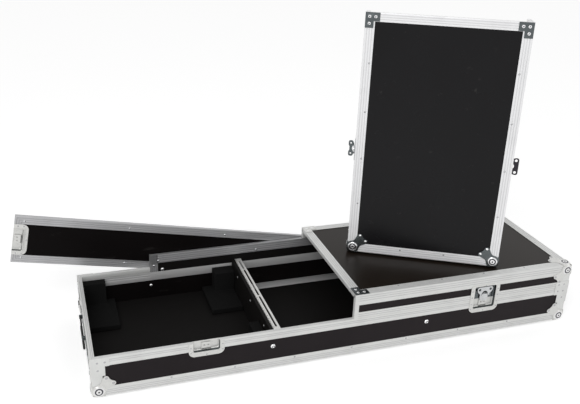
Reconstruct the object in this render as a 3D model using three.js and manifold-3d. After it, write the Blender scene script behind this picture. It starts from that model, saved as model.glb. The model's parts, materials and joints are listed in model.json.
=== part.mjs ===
// DJ coffin case: a long flight case for two turntables and a 19-inch mixer.
// Base tray, two half lids, a rear insert and a loose rear cover board.
// Millimetres. X runs along the case, Y from the front to the back, Z up.
// The origin is the middle of the floor panel's underside.
import * as THREE from "three";
import { mergeVertices } from "three/addons/utils/BufferGeometryUtils.js";
import Module from "manifold-3d";

const wasm = await Module();
wasm.setup();

// Driving dimensions.
const LENGTH = 1540; // over the aluminium
const DEPTH = 484;
const SPLIT = 122.5; // top of the base rim
const LID_HEIGHT = 82;
const PLY = 10; // laminated panel
const ALU = 1.5; // profile wall
const FLANGE = 30; // edge angle
const LIP = 16; // short inner flange of the rim channels
const SEAT = 0.3; // clearance of pieces that touch
const GAP = 0.25; // assembly gap in the lids
const OVERRUN = 5; // cutters run past a face by this
const ROOT = 0.6; // heads are let into their carrier by this

// Turns, in radians.
const LEAN = 0.049; // backward lean of the lid that stands on its end
const YAW = (28.4 * Math.PI) / 180; // its turn about the vertical
const COVER_TURN = (10.9 * Math.PI) / 180;

// Faces that many pieces share.
const TOP = SPLIT + LID_HEIGHT;
const HL = LENGTH / 2;
const HD = DEPTH / 2;
const PX = HL - ALU; // outer faces of the panels
const PY = HD - ALU;
const SHELL = PLY + ALU; // from the outside to a panel's inner face
const SKIN = SHELL + ALU; // depth of a channel over a panel
const EDGE_TOP = FLANGE - ALU; // top of the bottom angles

// Heads: rivets and bolts.
const RIVET = { radius: 3.2, high: 1.2 };
const SMALL_RIVET = { radius: 2.6, high: 1 };
const PLATE_RIVET = { radius: 3, high: 1.2 };
const BOLT = { radius: 7, high: 4 };
const INNER_BOLT = { radius: 6, high: 4 };
const KNOB = { radius: 10, high: 8, y: 152, z: 72 }; // on each end wall
const RIVET_TIP_SHARE = 0.75;
const BOLT_TIP_SHARE = 0.55;
const KNOB_TIP_SHARE = 0.65;

// Ball corners. A lobe's outline runs from the corner along both edges of a face.
const CORNER = { ball: 19, inset: 13.6, lobe: 57, plate: 1.5, cap: 20 };
const LOBE_SHARES = [
  [0.035, 0.035], [0.53, 0.035], [0.6, 0.33], [0.91, 0.47], [1, 0.56], [0.965, 0.68], [0.82, 0.74],
  [0.74, 0.82], [0.68, 0.965], [0.56, 1], [0.47, 0.91], [0.33, 0.6], [0.035, 0.53],
];
const EAR_SHARES = [[0.88, 0.6], [0.6, 0.88]];

// Braces round the upright edges at the split.
const BRACE = { long: 50, leg: 38, thick: 1.5, band: 26.5, drop: 62.5, lidBand: 22, foot: 14 };
const BRACE_RIVET_SHARES = [0.36, 0.76];

// Rivets and bolts of the base.
const BASE = {
  pitch: 184, rivetIn: 5.5, endRivetY: 110,
  boltX: 252, boltZ: 71, backBoltZ: 40, backBoltHigh: 3.6, sideBoltX: 535, sideBoltZ: 56,
};

// Rear sill profile and the insert that stands in it.
const SILL = { web: 78, top: 106, low: 58, high: 96 };
const INSERT = { half: 536, top: 168, stile: 26, head: 30, rivetIn: 22, boltIn: 41, boltZ: 112 };
const INSERT_RIVET_SHARES = [-0.948, -0.317, 0.317, 0.948];
const NOTCH_X = INSERT.half + 2 * SEAT;
const NOTCH_Z = INSERT.top + ALU; // the lids' back walls stop here

// Mixer bay: dividers and slotted rack rails on the 19-inch hole spacing.
const RAIL = {
  spacing: 465, wide: 25.5, margin: 14.5, thick: 2,
  tall: 37, slot: 6.5, bridge: 6, endMargin: 16.7,
};
const RAIL_BRIDGE_SHARES = [-0.122, 0.622];
const BAY = { half: RAIL.spacing / 2 + RAIL.margin, top: 119, rivetZ: 92, rivetRadius: 4, rivetHigh: 2 };
const DIVIDER_RIVET_SHARES = [0.61, -0.04, -0.66];

// Turntable supports: a low platform with a tall block behind it.
const OUTER_SUPPORT = {
  long: 101.5, deep: 166.7, high: 18,
  blockLong: 73.5, blockDeep: 28.7, blockHigh: 95,
};
const INNER_SUPPORT = {
  long: 104.7, deep: 160.7, high: 18,
  blockLong: 69.7, blockDeep: 46.7, blockHigh: 87,
};
const SMALL_BLOCK = { thick: 32.7, long: 60, high: 70, fromFront: 72 };

// Latches. The front ones sit in pans whose halves meet at the split, and the
// back ones on flat plates. Heights are counted from the split.
const LATCH_X = 450;
const LATCH_RISE = 15.5;
const PAN = {
  half: 52, recess: 38, wall: 1.5, plate: 1.5,
  rivetX: 46, rivetLow: 12, rivetHigh: 29, rivetEdge: 5,
};
const KEEPER_PAN = { reach: 44, recess: 29, corner: 18 };
const LATCH_PAN = { reach: 55.5, recess: 48, corner: 12 };
const KEEPER_LOW = SPLIT - KEEPER_PAN.recess - PAN.wall - SEAT; // lower end of a keeper's hole
const PAN_DEPTH = SHELL - SEAT - PAN.wall;
const COVER_PAN_DEPTH = 8;
const TAB = {
  half: 14, low: 4, high: 26, thick: 1.4, stand: 2.8,
  foot: 3, hole: 2.4, holeX: 6, holeAt: 13,
};
const BACK_LATCH = { x: 424, rise: 63.5, half: 35, tall: 16, bevel: 4, plate: 1.5, rivetX: 28, stand: 8.5 };
const BACK_KEEPER = {
  half: 35, top: 1, tall: 28, plate: 1.5,
  catchHalf: 16, catchTop: 7, catchTall: 6, catchOut: 3.2,
};
const BACK_KEEPER_RIVET = { x: 27, down: 17 };
const CAM = { radius: 15, drop: 9, front: 4.5, thick: 2 };
const HEAD = { half: 9.5, front: 0.8, back: 5, rise: 4 };
const PIN = { radius: 1.1, half: 15.5, depth: 2.2 };
const HUB = { radius: 6, clear: 0.4 };
const WING = {
  half: 26, foot: 1.9, shoulder: 16, tip: 31.6, cut: 12,
  thick: 1.6, hole: 5, holeX: 18, holeZ: 13,
};
const BARREL = { radius: 2, start: 0.7, clear: 0.35, end: 0.9, cap: 1.1 };

// End wall handles: a plate between the profiles, two lugs and a drop grip.
const HANDLE = { half: 100, bevel: 6, margin: 3, plate: 1.6, rivetX: 90, rivetEdge: 6.5 };
const LUG = { from: 56, thick: 8, half: 5.5, out: 10, bore: 2.4, sink: 0.5 };
const PIVOT = { out: 5.8, z: 76, pin: 2 };
const GRIP = { half: 55, inward: 3.2, outward: 3.8, low: 43, high: 27, bevelX: 2, bevelZ: 3 };
const ARM = { half: 2.5, thick: 5, low: 36, high: 2.4, pinEnd: 63 };

// Lid trim.
const LID_END = { face: 27, side: 14 };
const LID_RIVET = { pitch: 150, inset: 22, endY: 70 };
const LID_PLATE = { edge: 0.5, long: 46, leg: 26, deep: 44, thick: 1.25 };

// Where the left lid stands on the right lid, and the loose cover board.
const STAND = { x: 296, y: -87 };
const COVER = {
  long: 1072, wide: 159, band: 27, x: 86.3,
  drop: 5.3, rivetPitch: 323, rivetEnd: 29, rivetIn: 17,
};
const COVER_THICK = SKIN - 2 * SEAT;

// Materials.
const material = (color, roughness, metalness) =>
  new THREE.MeshStandardMaterial({ color, roughness, metalness });
const LAMINATE = material(0x1f1a1a, 0.45, 0.0);
const INSIDE = material(0x141414, 0.85, 0.0);
const ALUMINIUM = material(0xc9cbcc, 0.35, 0.9);
const ZINC = material(0xa9adb0, 0.3, 1.0);
const STEEL = material(0x6d7276, 0.35, 1.0);
const FOAM = material(0x101010, 0.95, 0.0);
const RUBBER = material(0x0c0c0c, 0.7, 0.0);

// A closed geometry as a solid, and back.
function solid(geometry) {
  const bare = new THREE.BufferGeometry();
  bare.setAttribute("position", geometry.getAttribute("position").clone());
  if (geometry.index) bare.setIndex(geometry.index.clone());
  const merged = mergeVertices(bare, 1e-4);
  return new wasm.Manifold(
    new wasm.Mesh({
      numProp: 3,
      vertProperties: new Float32Array(merged.getAttribute("position").array),
      triVerts: new Uint32Array(merged.index.array),
    }),
  );
}

function surface(body) {
  const mesh = body.getMesh();
  const geometry = new THREE.BufferGeometry();
  geometry.setAttribute(
    "position",
    new THREE.BufferAttribute(new Float32Array(mesh.vertProperties), 3),
  );
  geometry.setIndex(new THREE.BufferAttribute(new Uint32Array(mesh.triVerts), 1));
  return geometry;
}

const join = (...bodies) => bodies.reduce((all, one) => all.add(one));
const cut = (body, ...tools) => tools.reduce((left, one) => left.subtract(one), body);

// A block given by its limits.
function box(x0, x1, y0, y1, z0, z1) {
  const [ax, bx] = [Math.min(x0, x1), Math.max(x0, x1)];
  const [ay, by] = [Math.min(y0, y1), Math.max(y0, y1)];
  const [az, bz] = [Math.min(z0, z1), Math.max(z0, z1)];
  const geometry = new THREE.BoxGeometry(bx - ax, by - ay, bz - az);
  geometry.translate((ax + bx) / 2, (ay + by) / 2, (az + bz) / 2);
  return solid(geometry);
}

// An outline drawn in two axes and given a thickness along the third.
function prism(plane, outline, from, to) {
  const shape = new THREE.Shape(outline.map(([u, v]) => new THREE.Vector2(u, v)));
  const low = Math.min(from, to);
  const depth = Math.abs(to - from);
  const geometry = new THREE.ExtrudeGeometry(shape, { depth, bevelEnabled: false });
  if (plane === "xy") geometry.translate(0, 0, low);
  if (plane === "xz") {
    geometry.rotateX(Math.PI / 2);
    geometry.translate(0, low + depth, 0);
  }
  if (plane === "yz") {
    geometry.rotateZ(Math.PI / 2);
    geometry.rotateY(Math.PI / 2);
    geometry.translate(low, 0, 0);
  }
  return solid(geometry);
}

// A round bar along one axis: centre in the other two axes, then its two ends.
function rod(axis, radius, [c1, c2], from, to, sides = 12, tip = radius) {
  const [low, high] = [Math.min(from, to), Math.max(from, to)];
  const [atLow, atHigh] = from < to ? [radius, tip] : [tip, radius];
  const geometry = new THREE.CylinderGeometry(atHigh, atLow, high - low, sides);
  geometry.translate(0, (low + high) / 2, 0);
  if (axis === "x") {
    geometry.rotateZ(-Math.PI / 2);
    geometry.translate(0, c1, c2);
  }
  if (axis === "y") geometry.translate(c1, 0, c2);
  if (axis === "z") {
    geometry.rotateX(Math.PI / 2);
    geometry.translate(c1, c2, 0);
  }
  return solid(geometry);
}

// Turns a solid into its mirror image in x or y.
function mirrored(body, axis) {
  const geometry = surface(body);
  geometry.scale(axis === "x" ? -1 : 1, axis === "y" ? -1 : 1, 1);
  const index = geometry.index.array;
  for (let i = 0; i < index.length; i += 3) {
    [index[i], index[i + 1]] = [index[i + 1], index[i]];
  }
  return solid(geometry);
}

// Moves a corner piece outwards along all three axes.
function shifted(body, by) {
  const geometry = surface(body);
  geometry.translate(by, by, by);
  return solid(geometry);
}

const arc = (cx, cy, r, from, to, steps) =>
  Array.from({ length: steps + 1 }, (_, i) => {
    const t = ((from + ((to - from) * i) / steps) * Math.PI) / 180;
    return [cx + r * Math.cos(t), cy + r * Math.sin(t)];
  });

// Places at a steady pitch either side of the middle, inside a limit.
function pitched(pitch, limit) {
  const count = Math.floor(limit / pitch);
  return Array.from({ length: 2 * count + 1 }, (_, i) => (i - count) * pitch);
}

// A head on a face: the face's axis, its position, and which way is out.
function rivet(axis, face, centre, out, size = RIVET) {
  const tip = size.radius * RIVET_TIP_SHARE;
  return rod(axis, size.radius, centre, face - ROOT * out, face + size.high * out, 6, tip);
}

function bolt(axis, face, centre, out, size = BOLT) {
  const tip = size.radius * BOLT_TIP_SHARE;
  return rod(axis, size.radius, centre, face - ROOT * out, face + size.high * out, 10, tip);
}

// One named mesh, placed by its position inside its group.
function piece(group, name, body, look) {
  const geometry = surface(body).toNonIndexed();
  geometry.computeBoundingBox();
  const middle = geometry.boundingBox.getCenter(new THREE.Vector3());
  geometry.translate(-middle.x, -middle.y, -middle.z);
  geometry.computeVertexNormals();
  const mesh = new THREE.Mesh(geometry, look);
  mesh.name = name;
  mesh.position.copy(middle);
  group.add(mesh);
  return mesh;
}

const CORNERS = [
  ["front_left", -1, -1], ["front_right", 1, -1],
  ["back_left", -1, 1], ["back_right", 1, 1],
];
const ENDS = [["left", -1], ["right", 1]];

// Corner hardware is drawn for the corner at +X, +Y and mirrored to the others.
function atCorner(body, sx, sy) {
  let turned = body;
  if (sx < 0) turned = mirrored(turned, "x");
  if (sy < 0) turned = mirrored(turned, "y");
  return turned;
}

// up is +1 where the ball sits on a top corner and -1 on a bottom corner.
function ballCorner(z, up) {
  const { ball, inset, lobe, plate, cap } = CORNER;
  const sphere = new THREE.SphereGeometry(ball, 12, 8);
  sphere.rotateX(Math.PI / 2);
  sphere.translate(HL - inset, HD - inset, z - inset * up);
  // The inside of the corner stays clear, where the angles run.
  let body = cut(solid(sphere), box(HL - lobe, HL, HD - lobe, HD, z - lobe * up, z));
  const outline = (u, v, way) => LOBE_SHARES.map(([a, b]) => [u - a * lobe, v - b * lobe * way]);
  body = join(
    body,
    prism("xz", outline(HL, z, up), HD, HD + plate),
    prism("yz", outline(HD, z, up), HL, HL + plate),
    prism("xy", outline(HL, HD, 1), z, z + plate * up),
    box(HL - cap, HL + plate, HD - cap, HD + plate, z, z + plate * up),
    box(HL - cap, HL + plate, HD, HD + plate, z, z - cap * up),
    box(HL, HL + plate, HD - cap, HD + plate, z, z - cap * up),
  );
  for (const [a, b] of EAR_SHARES) {
    body = join(
      body,
      rivet("y", HD + plate, [HL - a * lobe, z - b * lobe * up], 1),
      rivet("x", HL + plate, [HD - a * lobe, z - b * lobe * up], 1),
      rivet("z", z + plate * up, [HL - a * lobe, HD - b * lobe], up),
    );
  }
  return body;
}

// A flat brace riveted round an upright edge: a long band at the split and, on
// the base, a narrower leg below it.
function brace(band, drop) {
  const { long, leg, thick, foot } = BRACE;
  const wrap = (reach, low, high) =>
    join(
      box(HL - reach, HL + thick, HD, HD + thick, low, high),
      box(HL, HL + thick, HD - reach, HD + thick, low, high),
    );
  const heads = (share, z) =>
    join(
      rivet("y", HD + thick, [HL - share * long, z], 1),
      rivet("x", HL + thick, [HD - share * long, z], 1),
    );
  let body = wrap(long, SPLIT, SPLIT + band);
  for (const share of BRACE_RIVET_SHARES) body = join(body, heads(share, SPLIT + band / 2));
  if (drop > 0) {
    body = join(body, wrap(leg, SPLIT - drop, SPLIT));
    body = join(body, heads(BRACE_RIVET_SHARES[0], SPLIT - drop + foot));
  }
  return body;
}

// The hole that a latch pan needs in a long wall at y = side * HD, and the same
// in the aluminium, which keeps its inner lip.
const HOLE_HALF = PAN.recess + PAN.wall + SEAT;
const latchHole = (x, side, z0, z1) =>
  box(x - HOLE_HALF, x + HOLE_HALF, side * (HD - SKIN - OVERRUN), side * (HD + OVERRUN), z0, z1);
const latchNotch = (x, side, z0, z1) =>
  box(x - HOLE_HALF, x + HOLE_HALF, side * (HD - SHELL), side * (HD + OVERRUN), z0, z1);

// A channel over the wall tops, with its outer flange and its short inner lip.
function channelRing(z0, web) {
  // web is +1 with the web at the top of the channel and -1 at the bottom.
  const span = (tall) => (web > 0 ? [z0 - tall, z0] : [z0, z0 + tall]);
  const ring = (outX, outY, inX, inY, [low, high]) =>
    cut(
      box(-outX, outX, -outY, outY, low, high),
      box(-inX, inX, -inY, inY, low - OVERRUN, high + OVERRUN),
    );
  return join(
    ring(HL, HD, PX, PY, span(FLANGE)),
    ring(HL, HD, HL - SKIN, HD - SKIN, span(ALU)),
    ring(HL - SHELL, HD - SHELL, HL - SKIN, HD - SKIN, span(LIP)),
  );
}

// A latch pan drawn at x = 0 on a face at y = 0 with the outside at -Y. It is
// open at the split, where its two halves meet. up is +1 for the upper half.
function pan(split, up, { reach, recess, corner }, depth) {
  const tip = split + up * (reach - corner);
  const flange = [
    [-PAN.half, split], [PAN.half, split],
    ...arc(PAN.half - corner, tip, corner, 0, up * 90, 4),
    ...arc(-PAN.half + corner, tip, corner, up * 90, up * 180, 4),
  ];
  const outer = PAN.recess + PAN.wall;
  let body = join(
    prism("xz", flange, -PAN.plate, 0),
    box(-outer, outer, -ROOT, depth + PAN.wall, split, split + up * (recess + PAN.wall)),
  );
  body = cut(
    body,
    box(-PAN.recess, PAN.recess, -OVERRUN, depth, split - up * OVERRUN, split + up * recess),
  );
  const head = (x, z) => rivet("y", -PAN.plate, [x, z], -1, SMALL_RIVET);
  for (const x of [-PAN.rivetX, PAN.rivetX]) {
    body = join(body, head(x, split + up * PAN.rivetLow), head(x, split + up * PAN.rivetHigh));
  }
  return join(body, head(0, split + up * (reach - PAN.rivetEdge)));
}

// The catch tab inside a keeper half.
function keeperTab(split, up, depth) {
  const [low, high] = [split + up * TAB.low, split + up * TAB.high];
  const front = depth - TAB.stand;
  const hole = (x) =>
    rod("y", TAB.hole, [x, split + up * TAB.holeAt], front - OVERRUN, front + TAB.thick + ROOT / 2, 8);
  return cut(
    join(
      box(-TAB.half, TAB.half, front, front + TAB.thick, low, high),
      box(-TAB.half, TAB.half, front, depth + ROOT, high - up * TAB.foot, high),
    ),
    hole(-TAB.holeX),
    hole(TAB.holeX),
  );
}

// The turning part: an eccentric cam, a cross head and two wing pins. Drawn
// about its own axis, which is the Y axis, with the outside at -Y.
function spindle(hubEnd) {
  const back = CAM.front + CAM.thick;
  let body = join(
    rod("y", CAM.radius, [0, -CAM.drop], CAM.front, back, 16),
    box(-HEAD.half, HEAD.half, HEAD.front, HEAD.back, -HEAD.rise, HEAD.rise),
    rod("x", PIN.radius, [PIN.depth, 0], -PIN.half, PIN.half, 8),
  );
  if (hubEnd > back) body = join(body, rod("y", HUB.radius, [0, 0], back - ROOT, hubEnd, 10));
  return body;
}

// The wing: a plate with two finger holes and a half-round cut-out, drawn flat
// and pointing up, about the pin axis.
function wing() {
  const outline = [
    [WING.half, -WING.foot], [WING.half, WING.shoulder],
    ...arc(0, 0, WING.tip, 36, 144, 6),
    [-WING.half, WING.shoulder], [-WING.half, -WING.foot], [-WING.cut, -WING.foot],
    ...arc(0, 0, WING.cut, 180, 0, 6),
    [WING.cut, -WING.foot],
  ];
  const from = HEAD.half + BARREL.start;
  const boreEnd = PIN.half + BARREL.end;
  const bore = PIN.radius + BARREL.clear;
  let body = prism("xz", outline, -WING.thick / 2, WING.thick / 2);
  for (const s of [-1, 1]) {
    body = cut(body, rod("y", WING.hole, [s * WING.holeX, WING.holeZ], -OVERRUN, OVERRUN, 8));
    body = join(body, rod("x", BARREL.radius, [0, 0], s * from, s * (boreEnd + BARREL.cap), 10));
    body = cut(body, box(s * (from - ROOT), s * boreEnd, -bore, bore, -bore, bore));
  }
  return body;
}

const model = new THREE.Group();
const base = new THREE.Group();
model.add(base);

// Base tray: floor and four walls, with their bolt heads.
function addTray() {
  // The floor is eased by the seat clearance over the angles' legs and the corners' lobes.
  const [openX, openY] = [HL - FLANGE - SEAT, HD - FLANGE - SEAT];
  const [clearX, clearY] = [HL - CORNER.lobe - SEAT, HD - CORNER.lobe - SEAT];
  const floor = join(
    box(-PX, PX, -PY, PY, SEAT, PLY),
    box(-openX, openX, -clearY, clearY, 0, PLY),
    box(-clearX, clearX, -openY, openY, 0, PLY),
  );
  piece(base, "base_floor_panel", floor, INSIDE);

  const wallTop = SPLIT - ALU;
  let front = box(-PX, PX, -PY, -PY + PLY, PLY, wallTop);
  for (const [, s] of ENDS) {
    front = cut(front, latchHole(s * LATCH_X, -1, KEEPER_LOW, SPLIT + OVERRUN));
    front = join(front, bolt("y", -PY, [s * BASE.boltX, BASE.boltZ], -1));
  }
  piece(base, "base_front_panel", front, LAMINATE);

  const inside = PY - PLY;
  let back = cut(
    box(-PX, PX, inside, PY, PLY, wallTop),
    box(-NOTCH_X, NOTCH_X, inside - OVERRUN, PY + OVERRUN, SILL.web - ALU, SPLIT + OVERRUN),
  );
  const low = { ...BOLT, high: BASE.backBoltHigh };
  for (const [, s] of ENDS) {
    back = join(back, bolt("y", inside, [s * BASE.sideBoltX, BASE.sideBoltZ], -1, INNER_BOLT));
    back = join(back, bolt("y", PY, [s * BASE.boltX, BASE.backBoltZ], 1, low));
  }
  piece(base, "base_back_panel", back, LAMINATE);

  for (const [name, s] of ENDS) {
    const knobTip = KNOB.radius * KNOB_TIP_SHARE;
    const wall = join(
      box(s * PX, s * (PX - PLY), -inside, inside, PLY, wallTop),
      rod("x", KNOB.radius, [KNOB.y, KNOB.z], s * (PX - ROOT), s * (PX + KNOB.high), 10, knobTip),
    );
    piece(base, `base_end_panel_${name}`, wall, LAMINATE);
  }
}

// Edge angles along the bottom, with the upright angles at the corners.
function addEdgeFrame() {
  const rimLow = SPLIT - FLANGE;
  const rivetZ = EDGE_TOP - BASE.rivetIn;
  let edge = cut(
    box(-HL, HL, -HD, HD, -ALU, rimLow),
    box(-PX, PX, -PY, PY, 0, SPLIT),
    box(-(HL - FLANGE), HL - FLANGE, -(HD - FLANGE), HD - FLANGE, -ALU - OVERRUN, OVERRUN),
    box(-(HL - FLANGE), HL - FLANGE, -HD - OVERRUN, HD + OVERRUN, EDGE_TOP, SPLIT),
    box(-HL - OVERRUN, HL + OVERRUN, -(HD - FLANGE), HD - FLANGE, EDGE_TOP, SPLIT),
  );
  for (const x of pitched(BASE.pitch, HL - CORNER.lobe)) {
    edge = join(edge, rivet("y", -HD, [x, rivetZ], -1), rivet("y", HD, [x, rivetZ], 1));
  }
  for (const y of [-BASE.endRivetY, BASE.endRivetY]) {
    edge = join(edge, rivet("x", -HL, [y, rivetZ], -1), rivet("x", HL, [y, rivetZ], 1));
  }
  piece(base, "base_edge_frame", edge, ALUMINIUM);
}

// The rim: a channel over the wall tops, open where the rear insert stands.
function addRimFrame() {
  let rim = cut(
    channelRing(SPLIT, 1),
    box(-NOTCH_X, NOTCH_X, HD - FLANGE, HD + OVERRUN, SPLIT - FLANGE - OVERRUN, SPLIT + OVERRUN),
  );
  for (const [, s] of ENDS) rim = cut(rim, latchNotch(s * LATCH_X, -1, KEEPER_LOW, SPLIT + OVERRUN));
  for (const [, sx, sy] of CORNERS) {
    rim = join(rim, atCorner(brace(-BRACE.band, BRACE.drop), sx, sy));
  }
  piece(base, "base_rim_frame", rim, ALUMINIUM);
}

// Rear sill: one profile that caps the low middle of the back wall, takes the
// insert in its upper channel, and runs on as a flat band to the end walls.
function addRearInsert() {
  const sill = join(
    box(-INSERT.half, INSERT.half, PY, HD, SILL.low, SILL.high),
    box(-INSERT.half, INSERT.half, HD - SKIN, HD, SILL.web - ALU, SILL.web),
    box(-(PX - PLY), PX - PLY, HD - SKIN, HD - SHELL, SILL.web - ALU, SILL.top),
  );
  piece(base, "rear_sill_profile", sill, ALUMINIUM);

  const face = HD - SKIN + SEAT; // inner face of the insert's profile
  const hollow = face + ALU;
  const half = INSERT.half - ALU;
  const low = SILL.top + 2 * SEAT;
  let board = box(-half, half, hollow, PY - SEAT, SILL.web + SEAT, INSERT.top - ALU);
  for (const [, s] of ENDS) {
    const centre = [s * (INSERT.half - INSERT.boltIn), INSERT.boltZ];
    board = join(board, bolt("y", hollow, centre, -1, INNER_BOLT));
  }
  piece(base, "rear_insert_panel", board, LAMINATE);

  const open = INSERT.half - INSERT.stile;
  let frame = cut(
    box(-INSERT.half, INSERT.half, face, HD - SEAT, low, INSERT.top),
    box(-open, open, face - OVERRUN, HD + OVERRUN, low - OVERRUN, INSERT.top - INSERT.head),
    box(-half, half, hollow, PY - SEAT, low - OVERRUN, INSERT.top - ALU),
  );
  for (const share of INSERT_RIVET_SHARES) {
    frame = join(frame, rivet("y", face, [share * INSERT.half, INSERT.top - INSERT.rivetIn], -1));
  }
  for (const [, s] of ENDS) {
    const centre = [s * (INSERT.half - INSERT.stile / 2), low + INSERT.rivetIn];
    frame = join(frame, rivet("y", face, centre, -1));
  }
  piece(base, "rear_insert_frame", frame, ALUMINIUM);
}

// Mixer bay: two upright dividers, each with a slotted rack rail.
function addMixerBay() {
  const end = HD - SKIN - SEAT;
  for (const [name, s] of ENDS) {
    const outer = BAY.half + PLY;
    const head = { radius: BAY.rivetRadius, high: BAY.rivetHigh };
    let divider = box(s * BAY.half, s * outer, -end, end, PLY, BAY.top);
    for (const share of DIVIDER_RIVET_SHARES) {
      divider = join(divider, rivet("x", s * outer, [share * HD, BAY.rivetZ], s, head));
    }
    piece(base, `divider_${name}`, divider, INSIDE);

    const web = BAY.half - RAIL.thick;
    let rail = join(
      box(s * (BAY.half - RAIL.wide), s * BAY.half, -end, end, BAY.top - RAIL.thick, BAY.top),
      box(s * web, s * BAY.half, -end, end, BAY.top - RAIL.tall, BAY.top),
    );
    const [near, far] = [(RAIL.spacing - RAIL.slot) / 2, (RAIL.spacing + RAIL.slot) / 2];
    const bridges = RAIL_BRIDGE_SHARES.map((share) => share * HD);
    const from = [RAIL.endMargin - end, ...bridges.map((y) => y + RAIL.bridge / 2)];
    const to = [...bridges.map((y) => y - RAIL.bridge / 2), end - RAIL.endMargin];
    from.forEach((low, i) => {
      rail = cut(rail, box(s * near, s * far, low, to[i], BAY.top - OVERRUN, BAY.top + OVERRUN));
    });
    piece(base, `rack_rail_${name}`, rail, ALUMINIUM);
  }
}

// A support against a wall at x, running inwards from the back of the case.
function support(x, inward, size) {
  const back = HD - SKIN - SEAT;
  return join(
    box(x, x + inward * size.long, back - size.deep, back, PLY, PLY + size.high),
    box(x, x + inward * size.blockLong, back - size.blockDeep, back, PLY, PLY + size.blockHigh),
  );
}

function addSupports() {
  const divider = BAY.half + PLY + SEAT;
  for (const [name, s] of ENDS) {
    piece(base, `support_outer_${name}`, support(s * (PX - PLY), -s, OUTER_SUPPORT), FOAM);
    piece(base, `support_inner_${name}`, support(s * divider, s, INNER_SUPPORT), FOAM);
  }
  const { thick, long, high, fromFront } = SMALL_BLOCK;
  const front = fromFront - HD;
  const block = box(-divider - thick, -divider, front, front + long, PLY, PLY + high);
  piece(base, "divider_block_left", block, FOAM);
}

// Keeper halves of the latches: pans at the front, flat plates at the back.
function addKeepers() {
  for (const [name, s] of ENDS) {
    const place = new THREE.Group();
    place.position.set(s * LATCH_X, -HD, 0);
    base.add(place);
    const keeper = join(
      pan(SPLIT, -1, KEEPER_PAN, PAN_DEPTH),
      keeperTab(SPLIT, -1, PAN_DEPTH),
    );
    piece(place, `keeper_dish_front_${name}`, keeper, ZINC);

    const { half, top, tall, plate, catchHalf, catchTop, catchTall, catchOut } = BACK_KEEPER;
    const x = s * BACK_LATCH.x;
    const high = INSERT.top - top;
    const catchHigh = INSERT.top - catchTop;
    let flat = join(
      box(x - half, x + half, HD, HD + plate, high - tall, high),
      box(x - catchHalf, x + catchHalf, HD + plate - ROOT, HD + catchOut, catchHigh - catchTall, catchHigh),
    );
    for (const dx of [-BACK_KEEPER_RIVET.x, BACK_KEEPER_RIVET.x]) {
      const centre = [x + dx, INSERT.top - BACK_KEEPER_RIVET.down];
      flat = join(flat, rivet("y", HD + plate, centre, 1, PLATE_RIVET));
    }
    piece(base, `keeper_plate_back_${name}`, flat, ZINC);
  }
}

// End wall handles.
function handlePlate() {
  const [low, high] = [EDGE_TOP + HANDLE.margin, SPLIT - FLANGE - HANDLE.margin];
  const { half, bevel, plate, rivetX, rivetEdge } = HANDLE;
  const outline = [
    [-half, low + bevel], [bevel - half, low], [half - bevel, low], [half, low + bevel],
    [half, high - bevel], [half - bevel, high], [bevel - half, high], [-half, high - bevel],
  ];
  let body = prism("yz", outline, PX, PX + plate);
  for (const t of [-1, 1]) {
    const [from, to] = [t * LUG.from, t * (LUG.from + LUG.thick)];
    const bore = rod("y", LUG.bore, [HL + PIVOT.out, PIVOT.z], from - t * OVERRUN, to + t * OVERRUN, 8);
    body = cut(
      join(body, box(PX + LUG.sink, HL + LUG.out, from, to, PIVOT.z - LUG.half, PIVOT.z + LUG.half)),
      bore,
    );
    for (const z of [low + rivetEdge, high - rivetEdge]) {
      body = join(body, rivet("x", PX + plate, [t * rivetX, z], 1));
    }
  }
  return body;
}

// The grip hangs from its pins, drawn about the pivot axis.
function dropGrip() {
  const { half, inward, outward, low, high, bevelX, bevelZ } = GRIP;
  const section = [
    [-inward, bevelZ - low], [bevelX - inward, -low], [outward - bevelX, -low], [outward, bevelZ - low],
    [outward, -high - bevelZ], [outward - bevelX, -high], [bevelX - inward, -high], [-inward, -high - bevelZ],
  ];
  let body = prism("xz", section, -half, half);
  for (const t of [-1, 1]) {
    body = join(
      body,
      box(-ARM.half, ARM.half, t * (half - ARM.thick), t * half, -ARM.low, ARM.high),
      rod("y", PIVOT.pin, [0, 0], t * (half - ROOT), t * ARM.pinEnd, 8),
    );
  }
  return body;
}

function addHandles() {
  for (const [name, s] of ENDS) {
    const side = (body) => (s < 0 ? mirrored(body, "x") : body);
    piece(base, `handle_plate_${name}`, side(handlePlate()), STEEL);
    const swing = new THREE.Group();
    swing.position.set(s * (HL + PIVOT.out), 0, PIVOT.z);
    base.add(swing);
    piece(swing, `handle_grip_${name}`, side(dropGrip()), RUBBER);
  }
}

// A half lid's panels, drawn closed on the right half of the base.
const lidTopPanel = () =>
  box(ALU + GAP, PX - GAP, -(PY - GAP), PY - GAP, TOP - SHELL + GAP, TOP - ALU - GAP);

const overInsert = () =>
  box(-OVERRUN, NOTCH_X, HD - FLANGE, HD + OVERRUN, SPLIT - OVERRUN, NOTCH_Z);

const latchTop = SPLIT + LATCH_PAN.recess + PAN.wall + SEAT;

function lidWalls() {
  const inner = PY - PLY + GAP;
  return cut(
    box(ALU + GAP, PX - GAP, -(PY - GAP), PY - GAP, SPLIT + ALU + GAP, TOP - SHELL),
    box(-OVERRUN, PX - PLY + GAP, -inner, inner, SPLIT - OVERRUN, TOP),
    overInsert(),
    latchHole(LATCH_X, -1, SPLIT - OVERRUN, latchTop),
  );
}

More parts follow.
